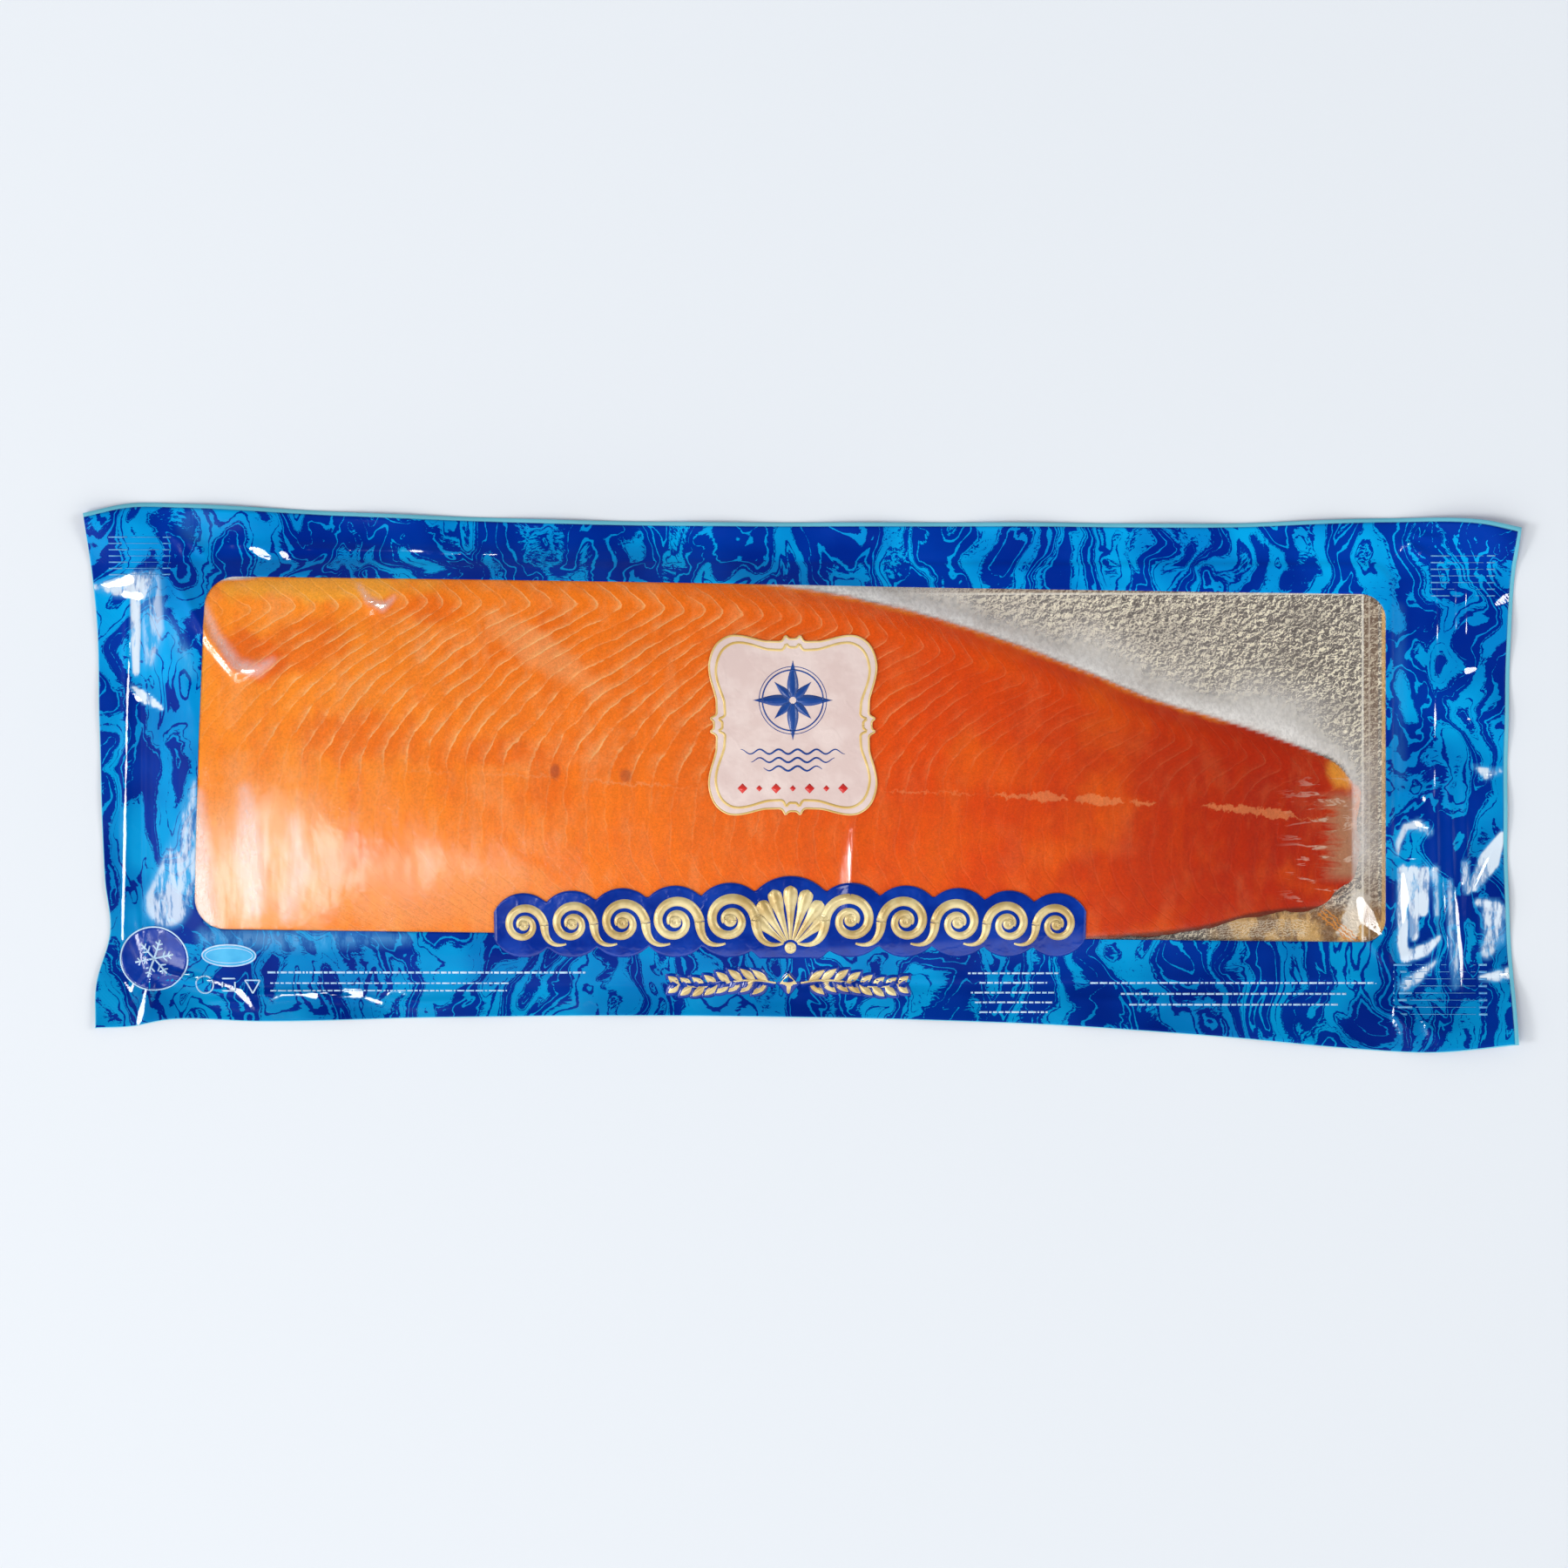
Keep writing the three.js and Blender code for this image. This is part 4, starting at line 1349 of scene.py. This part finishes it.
def makeBoard():
    head, tail, near, far = (board[side] for side in ("head", "tail", "near", "far"))
    past = card["past"]

    def shape(u, v):
        x = mix(head - past, tail + past, (u + 1) / 2)
        y = mix(near - past, far + past, (v + 1) / 2)
        groove = np.exp(-((insideBoard(x, y) - card["rimIn"]) / card["rimWidth"]) ** 2)
        return x, y, card["top"] - card["rimDepth"] * groove

    columns = round((tail - head) / card["cell"])
    rows = round((far - near) / card["cell"])
    piece = addGrid("boardCard", columns, rows, shape)
    thicken(piece, card["top"] - card["low"] - card["rimDepth"])
    corners = [(head, near), (tail, near), (tail, far), (head, far)]
    radii = [board["corner"]] * 4
    cutToPrism([(piece, "INTERSECT")], corners, radii, card["cornerSteps"], card["blockHeight"])
    x, y, _ = verticesOf(piece)
    setAttributes(piece, {"inset": insideBoard(x, y)})
    finish(piece, metallisedCard)


# The fish: a grid drawn out to its outline, with a rounded wall down to the board

salmon = {
    "cell": 1.3,
    "width": 182,
    "gap": 0.12,
    "inset": 0.4,
    "wallSteps": 5,
    "bulge": 0.9,  # how far its wall swells out, and how much wider it is at its foot
    "spread": 0.5,
    "ragged": 1.1,
    "raggedSize": 9,
    "raggedFine": 0.35,
    "raggedFineSize": 2.6,
    "groove": 0.25,
    "pitch": 10,
    # how the lines of fat lean, bend and fall back over the sideline, and lean and bend below it
    "lean": 1.02,
    "bend": 1.7,
    "fallBack": 1.2,
    "lowLean": 0.12,
    "lowBend": 0.02,
    "lowFrom": 22,
    "apexRound": 3.5,
    "sideline": smoothLine([(-304, 4), (-150, 2), (-50, -5), (60, -7), (150, -11), (210, -15), (268, -24)]),
    "apexIn": 17,
    "sideWidth": smoothLine([
        (-200, 0), (-190, 0.5), (-170, 0.6), (-160, 0), (-152, 0.5), (-120, 0.6), (-112, 0), (-104, 0.7),
        (-60, 0.6), (-50, 0.2), (38, 0.3), (50, 0.8), (66, 0.5), (76, 0.7), (88, 0.2), (96, 1.0),
        (126, 1.3), (129, 0),
        (132, 1.5), (152, 1.8), (155, 0), (159, 1.2), (168, 1.0), (171, 0), (190, 0), (194, 1.0),
        (212, 1.9), (232, 2.2), (238, 0.7), (250, 0.5), (254, 0), (268, 0),
    ]),
    # where the tail begins to be pulled to its torn end, and how far along the torn end is, across the tail
    "tailStart": 222,
    "tailEnd": smoothLine([
        (-66, 249), (-60, 257), (-53, 258.5), (-50, 263), (-44, 266.5), (-17, 267), (-6, 268), (1, 264),
        (9, 260.5), (15, 254), (24, 248),
    ]),
    "seed": 23,
}


def linesOf(x, y):
    # which line of fat a point lies at, and its height over the sideline
    above = y - salmon["sideline"](x)
    apex = np.maximum(fish["farSide"](x) - salmon["apexIn"] - salmon["sideline"](x), 8)
    rising = salmon["lean"] * apex * (np.clip(above, 0, None) / apex) ** salmon["bend"]
    falling = salmon["lean"] * apex - salmon["fallBack"] * (above - apex)
    soft = salmon["apexRound"]
    upper = -soft * np.logaddexp(-rising / soft, -falling / soft)
    below = np.clip(-above, 0, None)
    lower = -salmon["lowLean"] * below + salmon["lowBend"] * np.clip(below - salmon["lowFrom"], 0, None) ** 2
    return (x - upper - lower) / salmon["pitch"], above


def outlineAt(x):
    # the near and far sides with the ends' round corners
    fromEnd = np.clip(np.minimum(x - fish["head"], fish["tail"] - x), 0, fish["corner"])
    pull = fish["corner"] - np.sqrt(fish["corner"] ** 2 - (fish["corner"] - fromEnd) ** 2)
    return fish["nearSide"](x) + pull, fish["farSide"](x) - pull


def makeSalmon():
    length = fish["tail"] - fish["head"]
    columns = round(length / salmon["cell"])
    rows = round(salmon["width"] / salmon["cell"])
    wall = salmon["wallSteps"]
    shareX = 1 - 2 * wall / columns
    shareY = 1 - 2 * wall / rows

    def shape(u, v):
        topU = np.clip(u / shareX, -1, 1)
        topV = np.clip(v / shareY, -1, 1)
        down = np.maximum((np.abs(u) - shareX) / (1 - shareX), (np.abs(v) - shareY) / (1 - shareY))
        down = np.clip(down, 0, 1)
        inset = salmon["inset"]
        x = mix(fish["head"] + inset, fish["tail"] - inset, (topU + 1) / 2)
        low, high = outlineAt(x)
        y = mix(low + inset, high - inset, (topV + 1) / 2)
        out = np.sin(down * np.pi) * salmon["bulge"] + salmon["spread"] * down
        normalX = np.where(np.abs(topU) >= 1, np.sign(topU), 0.0)
        normalY = np.where(np.abs(topV) >= 1, np.sign(topV), 0.0)
        rough = salmon["ragged"] * softNoise(x, y, salmon["raggedSize"], salmon["seed"])
        rough += salmon["raggedFine"] * softNoise(x, y, salmon["raggedFineSize"], salmon["seed"] + 1)
        x = x + normalX * out + rough * 0.6 * np.abs(topU) ** 40 * np.sign(topU)
        y = y + normalY * out + rough * np.abs(topV) ** 30 * np.sign(y - (low + high) / 2)
        tailStart = salmon["tailStart"]
        stretch = (salmon["tailEnd"](np.clip(y, -66, 24)) - tailStart) / (fish["tail"] - tailStart)
        x = np.where(x > tailStart, tailStart + (x - tailStart) * stretch, x)
        surface = filmSurface(x, y) - film["thickness"] - salmon["gap"]
        line, above = linesOf(x, y)
        turn = line - np.floor(line)
        groove = np.exp(-((turn - 0.95) / 0.06) ** 2) * smoothStep(0, 15, above) * smoothStep(120, 0, x)
        surface = surface - salmon["groove"] * groove
        z = mix(surface, card["top"] + 0.02, smoothStep(0, 1, down))
        return x, y, z

    piece = addGrid("salmonSide", columns, rows, shape)
    bpy.ops.object.mode_set(mode="EDIT")
    bpy.ops.mesh.select_all(action="DESELECT")
    bpy.ops.mesh.select_mode(type="EDGE")
    bpy.ops.mesh.select_non_manifold(extend=False, use_boundary=True)
    bpy.ops.mesh.edge_face_add()
    bpy.ops.mesh.select_all(action="SELECT")
    bpy.ops.mesh.quads_convert_to_tris(quad_method="SHORTEST_DIAGONAL", ngon_method="BEAUTY")
    bpy.ops.mesh.normals_make_consistent(inside=False)
    bpy.ops.object.mode_set(mode="OBJECT")
    x, y, _ = verticesOf(piece)
    line, above = linesOf(x, y)
    widths = salmon["sideWidth"](x)
    setAttributes(piece, {"line": line, "side": above, "sideWidth": widths, "rim": insideFish(x, y)})
    finish(piece, salmonFlesh)


# The label over the middle of the window

label = {
    "centre": (-4.4, 25.2),
    "halfWidth": 41,
    "halfHeight": 44.5,
    "squareness": 5.6,
    "dip": 4.4,
    "dipIn": 17,
    "dipOut": 37,
    "point": 1.6,
    "pointAt": 4.6,
    "pointWidth": 1.3,
    "bracket": 1.4,
    "lift": 0.1,
    "inkLift": 0.06,
    "ink": 0.06,
    "bandSteps": 420,
    "outerBand": 0.9,
    "innerBand": 1.2,
    "innerIn": 4.4,
}


def labelReach(turn):
    # how far the label's scalloped outline is from its centre, in each direction
    wide = np.abs(np.cos(turn) / label["halfWidth"]) ** label["squareness"]
    high = np.abs(np.sin(turn) / label["halfHeight"]) ** label["squareness"]
    reach = (wide + high) ** (-1 / label["squareness"])
    fromAxis = np.degrees(np.abs((turn + np.pi / 4) % (np.pi / 2) - np.pi / 4))
    dip = label["dip"] * smoothStep(label["dipOut"], label["dipIn"], fromAxis)
    point = label["point"] * np.exp(-((fromAxis - label["pointAt"]) / label["pointWidth"]) ** 2)
    bracket = label["bracket"] * smoothStep(2 * label["pointAt"], label["pointAt"], fromAxis)
    return reach - dip + point + bracket


def labelBand(inwards, width, lift):
    def at(share):
        turn = 2 * np.pi * share
        reach = labelReach(turn) - inwards
        return label["centre"][0] + reach * np.cos(turn), label["centre"][1] + reach * np.sin(turn)

    return drawStroke({"steps": label["bandSteps"], "at": at}, even(width), lift)


def makeLabel():
    def reachAt(turn):
        reach = labelReach(turn)
        return reach, reach

    plate = addPlate("labelPlate", (70, 70), label["centre"], reachAt, label["lift"])
    finishPrint([plate], "labelPlate", 0.09, labelInk)
    lift = label["lift"] + label["inkLift"]
    bands = [
        labelBand(label["outerBand"] / 2, label["outerBand"], lift),
        labelBand(label["innerIn"], label["innerBand"], lift),
    ]
    finishPrint(bands, "labelRims", label["ink"], paleGoldInk)


compass = {
    "centre": (-4.4, 37),
    "points": 8,
    "reach": (19, 12.5),  # of the long points and the short ones
    "width": (5.2, 3.64),
    "hub": 1.6,
    "outline": smoothLine([(0, 0.3), (0.22, 1), (1, 0.02)]),
    # radius and width of each ring
    "rings": [(14.5, 0.7), (16.1, 0.35)],
    # height and half length of each wave
    "waves": [(12.5, 25), (8.5, 20), (4.5, 14)],
    "wavePitch": 9,
    "waveHeight": 1.1,
    "gemRow": -5,
    "gems": 7,
    "gemPitch": 8,
    "gemSizes": (2.4, 1.5),
}


def makeLabelMotif():
    lift = label["lift"] + label["inkLift"]
    centre = compass["centre"]
    strokes = []
    for k in range(compass["points"]):
        turn = 2 * np.pi * k / compass["points"]
        reach = compass["reach"][k % 2]
        widest = compass["width"][k % 2]
        path = straight(spoke(centre, turn, compass["hub"]), spoke(centre, turn, reach), 16)
        strokes.append(drawStroke(path, lambda s, w=widest: w * compass["outline"](s), lift))
    for radius, width in compass["rings"]:
        strokes.append(drawStroke(ringPath(centre, radius, radius), even(width), lift))
    for row, half in compass["waves"]:
        def at(share, row=row, half=half):
            x = mix(-half, half, share)
            return centre[0] + x, row + compass["waveHeight"] * np.sin(2 * np.pi * x / compass["wavePitch"])

        path = {"steps": 90, "at": at}
        strokes.append(drawStroke(path, lambda s: 0.9 * np.sin(np.pi * s) ** 0.5 + 0.1, lift))
    finishPrint(strokes, "labelCompass", label["ink"], lineInk)

    gems = []
    for k in range(compass["gems"]):
        x = centre[0] + (k - (compass["gems"] - 1) / 2) * compass["gemPitch"]
        y = compass["gemRow"]
        size = compass["gemSizes"][k % 2]
        path = straight((x - size, y), (x + size, y), 8)
        gems.append(drawStroke(path, lambda s, high=lozenge(2 * size): high(s) + 0.02, lift))
    finishPrint(gems, "labelGems", label["ink"], redInk)


print("label")
makeLabel()
makeLabelMotif()


# The gold ornament over the window's lower edge: waves that run out from a fan, on a navy ground

scroll = {
    "middle": -5.5,
    "base": -80.5,
    "radii": [12.4, 11.7, 11.1, 10.5, 9.9],
    "fanHalf": 16.5,
    "gap": 5.9,
    "lead": [(-2.05, 0.1), (-1.4, -0.12), (-1, 0.3), (-1, 1)],
    "turns": 1.55,
    "tightness": 0.8,
    "width": 5.4,
    "rim": 5.6,
    "lift": 0.1,
    "panelCell": 1.4,
    "panelRows": 26,
    "panelDrop": 6.2,
    "endTrim": 1.4,
    "fanCentre": 11,
    "fanRadius": 17,
    "petals": 7,
    "petalSpread": 100,
    "petalLength": 30,
    "petalWidth": 6.8,
    "petalFoot": 4,
    "petalOutline": smoothLine([(0, 0.16), (0.55, 0.62), (0.84, 1), (0.96, 0.7), (1, 0.1)]),
    "knob": 1.4,
}

branch = {
    "middle": (-6.5, -99),
    "half": 55,
    "sway": 1.6,
    "leaves": 8,
    "leafLength": 10,
    "leafWidth": 3.6,
    "leafTurn": 38,
    "leafOutline": smoothLine([(0, 0.12), (0.4, 1), (0.75, 0.7), (1, 0.06)]),
    "start": 6,
    "gem": 4.2,
    "rim": 3.0,
}


def scrollUnits():
    # the centre and radius of each wave on the right side
    units = []
    x = scroll["fanHalf"] + scroll["radii"][0]
    for k, radius in enumerate(scroll["radii"]):
        if k > 0:
            x += radius + 0.7 * scroll["radii"][k - 1] + scroll["gap"]
        units.append((x, radius))
    return units


def scrollStrokes(lift):
    base = scroll["base"]
    strokes = []
    for side in (-1, 1):
        for x0, radius in scrollUnits():
            def lead(share, x0=x0, r=radius, side=side):
                # a curve from the wave before, drawn by four points in radii
                rest = 1 - share
                weights = rest ** 3, 3 * share * rest ** 2, 3 * share ** 2 * rest, share ** 3
                x = sum(weight * point[0] * r for weight, point in zip(weights, scroll["lead"]))
                y = sum(weight * point[1] * r for weight, point in zip(weights, scroll["lead"]))
                return scroll["middle"] + side * (x0 + x), base + y

            def curl(share, x0=x0, r=radius, side=side):
                turn = np.pi - share * scroll["turns"] * 2 * np.pi
                reach = r * (1 - scroll["tightness"] * share ** 0.85)
                x = scroll["middle"] + side * (x0 + reach * np.cos(turn))
                return x, base + r + reach * np.sin(turn)

            width = scroll["width"] * radius / scroll["radii"][0]
            for at, steps, foot, gain in ((lead, 30, 0.2, 0.75), (curl, 60, 0.95, -0.4)):
                path = {"steps": steps, "at": at}
                strokes.append(drawStroke(path, lambda s, w=width, f=foot, g=gain: w * (f + g * s), lift))
            eye = ringPath((scroll["middle"] + side * x0, base + radius), 0.13 * radius, 0.13 * radius, 24)
            strokes.append(drawStroke(eye, even(0.25 * radius), lift))
    return strokes


def fanStrokes(lift):
    centre = (scroll["middle"], scroll["base"] - 1)
    outline = scroll["petalOutline"]
    strokes = []
    for k in range(scroll["petals"]):
        share = k / (scroll["petals"] - 1) - 0.5
        turn = math.radians(90 + share * scroll["petalSpread"])
        length = scroll["petalLength"] * (1 - 0.9 * share * share)
        path = straight(spoke(centre, turn, scroll["petalFoot"]), spoke(centre, turn, length), 30)
        strokes.append(drawStroke(path, lambda s: scroll["petalWidth"] * outline(s), lift))
    knob = scroll["knob"]
    strokes.append(drawStroke(ringPath(centre, knob, knob, 24), even(2 * knob), lift))
    return strokes


def branchStrokes(lift, extra):
    # a stem with paired leaves on each side of a lozenge
    x0, y0 = branch["middle"]
    strokes = []

    def leafWidth(s):
        rim = extra * np.sin(np.pi * np.clip(s * 0.9 + 0.05, 0, 1))
        return branch["leafWidth"] * branch["leafOutline"](s) + rim

    for side in (-1, 1):
        def stem(share, side=side):
            x = side * mix(branch["start"], branch["half"], share)
            return x0 + x, y0 + branch["sway"] * np.sin(share * 2 * np.pi)

        strokes.append(drawStroke({"steps": 40, "at": stem}, lambda s: 1.3 - 0.6 * s + extra, lift))
        for k in range(branch["leaves"]):
            share = (k + 0.6) / branch["leaves"]
            foot = stem(share)
            length = branch["leafLength"] * (1 - 0.35 * share)
            past = extra / 2 / length
            for hand in (-1, 1):
                turn = math.radians(branch["leafTurn"]) * hand
                tip = (foot[0] + side * length * math.cos(turn), foot[1] + length * math.sin(turn))
                path = straight(between(foot, tip, -past * 0.3), between(foot, tip, 1 + past), 16)
                strokes.append(drawStroke(path, leafWidth, lift))
    size = branch["gem"]
    path = straight((x0 - size - extra / 2, y0), (x0 + size + extra / 2, y0), 12)
    high = lozenge(2.4 * size + extra)
    strokes.append(drawStroke(path, lambda s: high(s) + 0.05, lift))
    return strokes


def makeScrollPanel():
    middle, base = scroll["middle"], scroll["base"]
    units = [(middle + side * x, base + r, r) for side in (-1, 1) for x, r in scrollUnits()]
    units.append((middle, base + scroll["fanCentre"], scroll["fanRadius"]))
    reach = max(x + r for x, y, r in units) + scroll["rim"] - scroll["endTrim"] - middle
    columns = round(2 * reach / scroll["panelCell"])

    def shape(u, v):
        x = scroll["middle"] + u * reach
        high = np.full_like(x, -1e6)
        low = np.full_like(x, 1e6)
        for x0, y0, radius in units:
            size = radius + scroll["rim"]
            half = np.sqrt(np.maximum(size ** 2 - (x - x0) ** 2, 0))
            inside = np.abs(x - x0) < size
            high = np.where(inside, np.maximum(high, y0 + half), high)
            low = np.where(inside, np.minimum(low, y0 - half), low)
        low = np.maximum(low, base - scroll["panelDrop"])
        low = np.minimum(low, high - 0.4)
        y = mix(low, high, (v + 1) / 2)
        return x, y, filmSurface(x, y) + scroll["lift"]

    panel = addGrid("scrollPanel", columns, scroll["panelRows"], shape)
    strokes = branchStrokes(scroll["lift"], branch["rim"])
    finishPrint([panel] + strokes, "scrollPanel", 0.09, navyInk)


def makeScroll():
    lift = scroll["lift"] + 0.06
    strokes = scrollStrokes(lift) + fanStrokes(lift) + branchStrokes(lift, 0)
    finishPrint(strokes, "scrollOrnament", 0.07, goldInk)


print("ornament")
makeScrollPanel()
makeScroll()


# Small pale print: dashed rules, a disc with a snow star, an oval ring and three signs

smallPrint = {
    "lift": 0.08,
    "thick": 0.05,
    "disc": (-311.9, -86.9),
    "discHalf": (16.4, 15.2),
    "oval": (-275.3, -85.3),
    "ovalHalf": (13, 5.2),
    "ovalRings": [(0, 0.7), (1.5, 0.35)],  # how far in, and width
    "line": 0.7,
    "star": 9.5,
    "starTurn": 0.2,
    "starLine": 0.9,
    "twigs": [(0.45, 3.0), (0.72, 2.2)],  # how far along an arm, and length
    "signs": (-287.5, -99.5),
    "signPitch": 11.5,
    "signCorners": (40, 4, 3),
    "signRadius": 4.2,
    "seed": 31,
}

# Blocks of dashed rules: the ends, where the first row is, rows, pitch, height of a dash, and alignment
ruleBlocks = [
    {"from": -257, "to": -104, "top": -93.5, "rows": 1, "pitch": 5, "high": 1.0, "align": "left"},
    {"from": -256, "to": -140, "top": -98.8, "rows": 2, "pitch": 3.6, "high": 0.7, "align": "left"},
    {"from": 80, "to": 124, "top": -94.0, "rows": 5, "pitch": 4.7, "high": 0.85, "align": "middle"},
    {"from": 139, "to": 277, "top": -98.8, "rows": 3, "pitch": 5.2, "high": 0.9, "align": "middle"},
]

# Tables at the ends of the bag, alike
tables = [
    {"from": 285, "to": 330, "top": -90, "rows": 8, "pitch": 3.4, "high": 1.0},
    {"from": -334, "to": -304, "top": 116, "rows": 7, "pitch": 3.0, "high": 0.6},
    {"from": 303, "to": 334, "top": 107, "rows": 7, "pitch": 3.2, "high": 0.6},
]


def dashesOf(block, dice):
    # short dashes with narrow gaps, like a rule drawn with a worn pen
    strokes = []
    for row in range(block["rows"]):
        y = block["top"] - row * block["pitch"]
        length = block["to"] - block["from"]
        short = length * dice.uniform(0.0, 0.3) if row > 0 else 0
        start = block["from"] + (short / 2 if block["align"] == "middle" else 0)
        end = block["to"] - (short / 2 if block["align"] == "middle" else short)
        x = start
        while x < end:
            dash = min(dice.uniform(0.8, 4.2), end - x)
            if dash > 0.6:
                path = straight((x, y), (x + dash, y), max(round(dash / 2), 1))
                strokes.append(drawStroke(path, even(block["high"]), smallPrint["lift"]))
            x += dash + 0.7
    return strokes


def tableOf(block):
    # a hairline between two short bars for each row
    strokes = []
    for row in range(block["rows"]):
        y = block["top"] - row * block["pitch"]
        bar = 9 if row % 2 == 0 else 6.5
        ends = [(block["from"], block["from"] + bar), (block["to"] - 4, block["to"])]
        ends.append((ends[0][1] + 1.5, ends[1][0] - 1.5))
        for k, (start, end) in enumerate(ends):
            high = 0.22 if k == 2 else block["high"]
            strokes.append(drawStroke(straight((start, y), (end, y), 1), even(high), smallPrint["lift"]))
    return strokes


def snowStar(centre, lift):
    strokes = []
    for k in range(6):
        turn = math.pi * k / 3 + smallPrint["starTurn"]
        tip = spoke(centre, turn, smallPrint["star"])
        strokes.append(drawStroke(straight(centre, tip, 6), even(smallPrint["starLine"]), lift))
        for along, length in smallPrint["twigs"]:
            foot = between(centre, tip, along)
            for hand in (-1, 1):
                end = spoke(foot, turn + hand * math.pi / 3.2, length)
                strokes.append(drawStroke(straight(foot, end, 2), even(smallPrint["line"]), lift))
    return strokes


def signStrokes(lift):
    # a ring, a square and a triangle
    strokes = []
    for k, corners in enumerate(smallPrint["signCorners"]):
        centre = (smallPrint["signs"][0] + k * smallPrint["signPitch"], smallPrint["signs"][1])
        first = math.pi / corners + (math.pi / 2 if corners == 3 else 0)
        turns = [2 * math.pi * n / corners + first for n in range(corners + 1)]
        spots = [spoke(centre, turn, smallPrint["signRadius"]) for turn in turns]
        steps = 3 if corners < 9 else 1
        for start, end in zip(spots, spots[1:]):
            strokes.append(drawStroke(straight(start, end, steps), even(smallPrint["line"]), lift))
    return strokes


def makeSmallPrint():
    dice = np.random.default_rng(smallPrint["seed"])
    lift = smallPrint["lift"]
    thick = smallPrint["thick"]
    disc, oval = smallPrint["disc"], smallPrint["oval"]
    discHalf, ovalHalf = smallPrint["discHalf"], smallPrint["ovalHalf"]
    strokes = []
    for block in ruleBlocks:
        strokes += dashesOf(block, dice)
    strokes.append(drawStroke(ringPath(disc, *discHalf), even(smallPrint["line"]), lift + 0.05))
    strokes += snowStar(disc, lift + 0.05)
    for inset, width in smallPrint["ovalRings"]:
        ring = ringPath(oval, ovalHalf[0] - inset, ovalHalf[1] - inset)
        strokes.append(drawStroke(ring, even(width), lift))
    strokes += signStrokes(lift)
    finishPrint(strokes, "smallPrint", thick, whiteInk)
    faint = [stroke for block in tables for stroke in tableOf(block)]
    finishPrint(faint, "smallTables", thick, faintInk)
    plate = addPlate("smallDisc", (24, 24), disc, lambda turn: discHalf, lift)
    finishPrint([plate], "smallDisc", thick, navyInk)
    plate = addPlate("smallOval", (20, 12), oval, lambda turn: ovalHalf, lift - 0.03)
    finishPrint([plate], "smallOval", thick, paleInk)


print("small print")
makeSmallPrint()
print("board")
makeBoard()
print("salmon")
makeSalmon()
print("back film")
makeBackFilm()
print("front film")
makeFrontPieces()


# Floor, lights and camera

view = {
    "middle": (-8.6, -2.9),
    "width": 756,
    "height": 2200,
    "sensor": 36,
}

lights = {
    "key": {"from": (-1.95, -1.9, 4.4), "size": (1.5, 2.9), "power": 86, "tint": (1.0, 0.985, 0.96)},
    "left": {"from": (-4.8, -1.0, 3.3), "size": (1.3, 1.3), "power": 110, "tint": (1.0, 0.99, 0.98)},
    "right": {"from": (5.4, 0.9, 3.9), "size": (2.4, 2.4), "power": 88, "tint": (0.98, 0.99, 1.0)},
}

studio = {
    "floor": colour(231, 236, 242),
    "overhead": (0.035, 0.04, 0.045, 1),
    "around": (1.34, 1.35, 1.37, 1),
    "farShare": 0.35,
}


def makeFloor():
    bpy.ops.object.select_all(action="DESELECT")
    bpy.ops.mesh.primitive_plane_add(size=8, location=(0, 0, -0.0004))
    floor = bpy.context.object
    floor.name = "floor"
    bpy.ops.object.transform_apply(location=True)
    material, tree = newMaterial("paleFloor")
    inputs = {"Base Color": studio["floor"], "Roughness": 0.9, "Specular IOR Level": 0.1}
    showShader(tree, addPrincipled(tree, inputs))
    floor.data.materials.append(material)


def makeLights():
    for name, values in lights.items():
        lamp = bpy.data.lights.new(name, "AREA")
        lamp.shape = "RECTANGLE"
        lamp.size = values["size"][0]
        lamp.size_y = values["size"][1]
        lamp.energy = values["power"]
        lamp.color = values["tint"]
        holder = bpy.data.objects.new(name, lamp)
        bpy.context.collection.objects.link(holder)
        holder.location = values["from"]
        holder.rotation_euler = (-holder.location).to_track_quat("-Z", "Y").to_euler()
    world = bpy.data.worlds.new("studio")
    world.use_nodes = True
    tree = world.node_tree
    aim = axesOf(tree, addNode(tree, "ShaderNodeTexCoord").outputs["Generated"])
    farwards = mapRange(tree, aim["Y"], 0.1, 0.5, 1.0, studio["farShare"])
    ring = product(tree, mapRange(tree, aim["Z"], 0.78, 0.6), farwards)
    shade = mixColours(tree, ring, studio["overhead"], studio["around"])
    tree.links.new(shade, tree.nodes["Background"].inputs["Color"])
    bpy.context.scene.world = world


def makeCamera():
    lens = bpy.data.cameras.new("camera")
    lens.sensor_width = view["sensor"]
    lens.lens = view["sensor"] * view["height"] / view["width"]
    holder = bpy.data.objects.new("camera", lens)
    bpy.context.collection.objects.link(holder)
    holder.location = (view["middle"][0] * mm, view["middle"][1] * mm, view["height"] * mm)
    bpy.context.scene.camera = holder
    bpy.context.scene.view_settings.view_transform = "Standard"


print("floor, lights and camera")
makeFloor()
makeLights()
makeCamera()
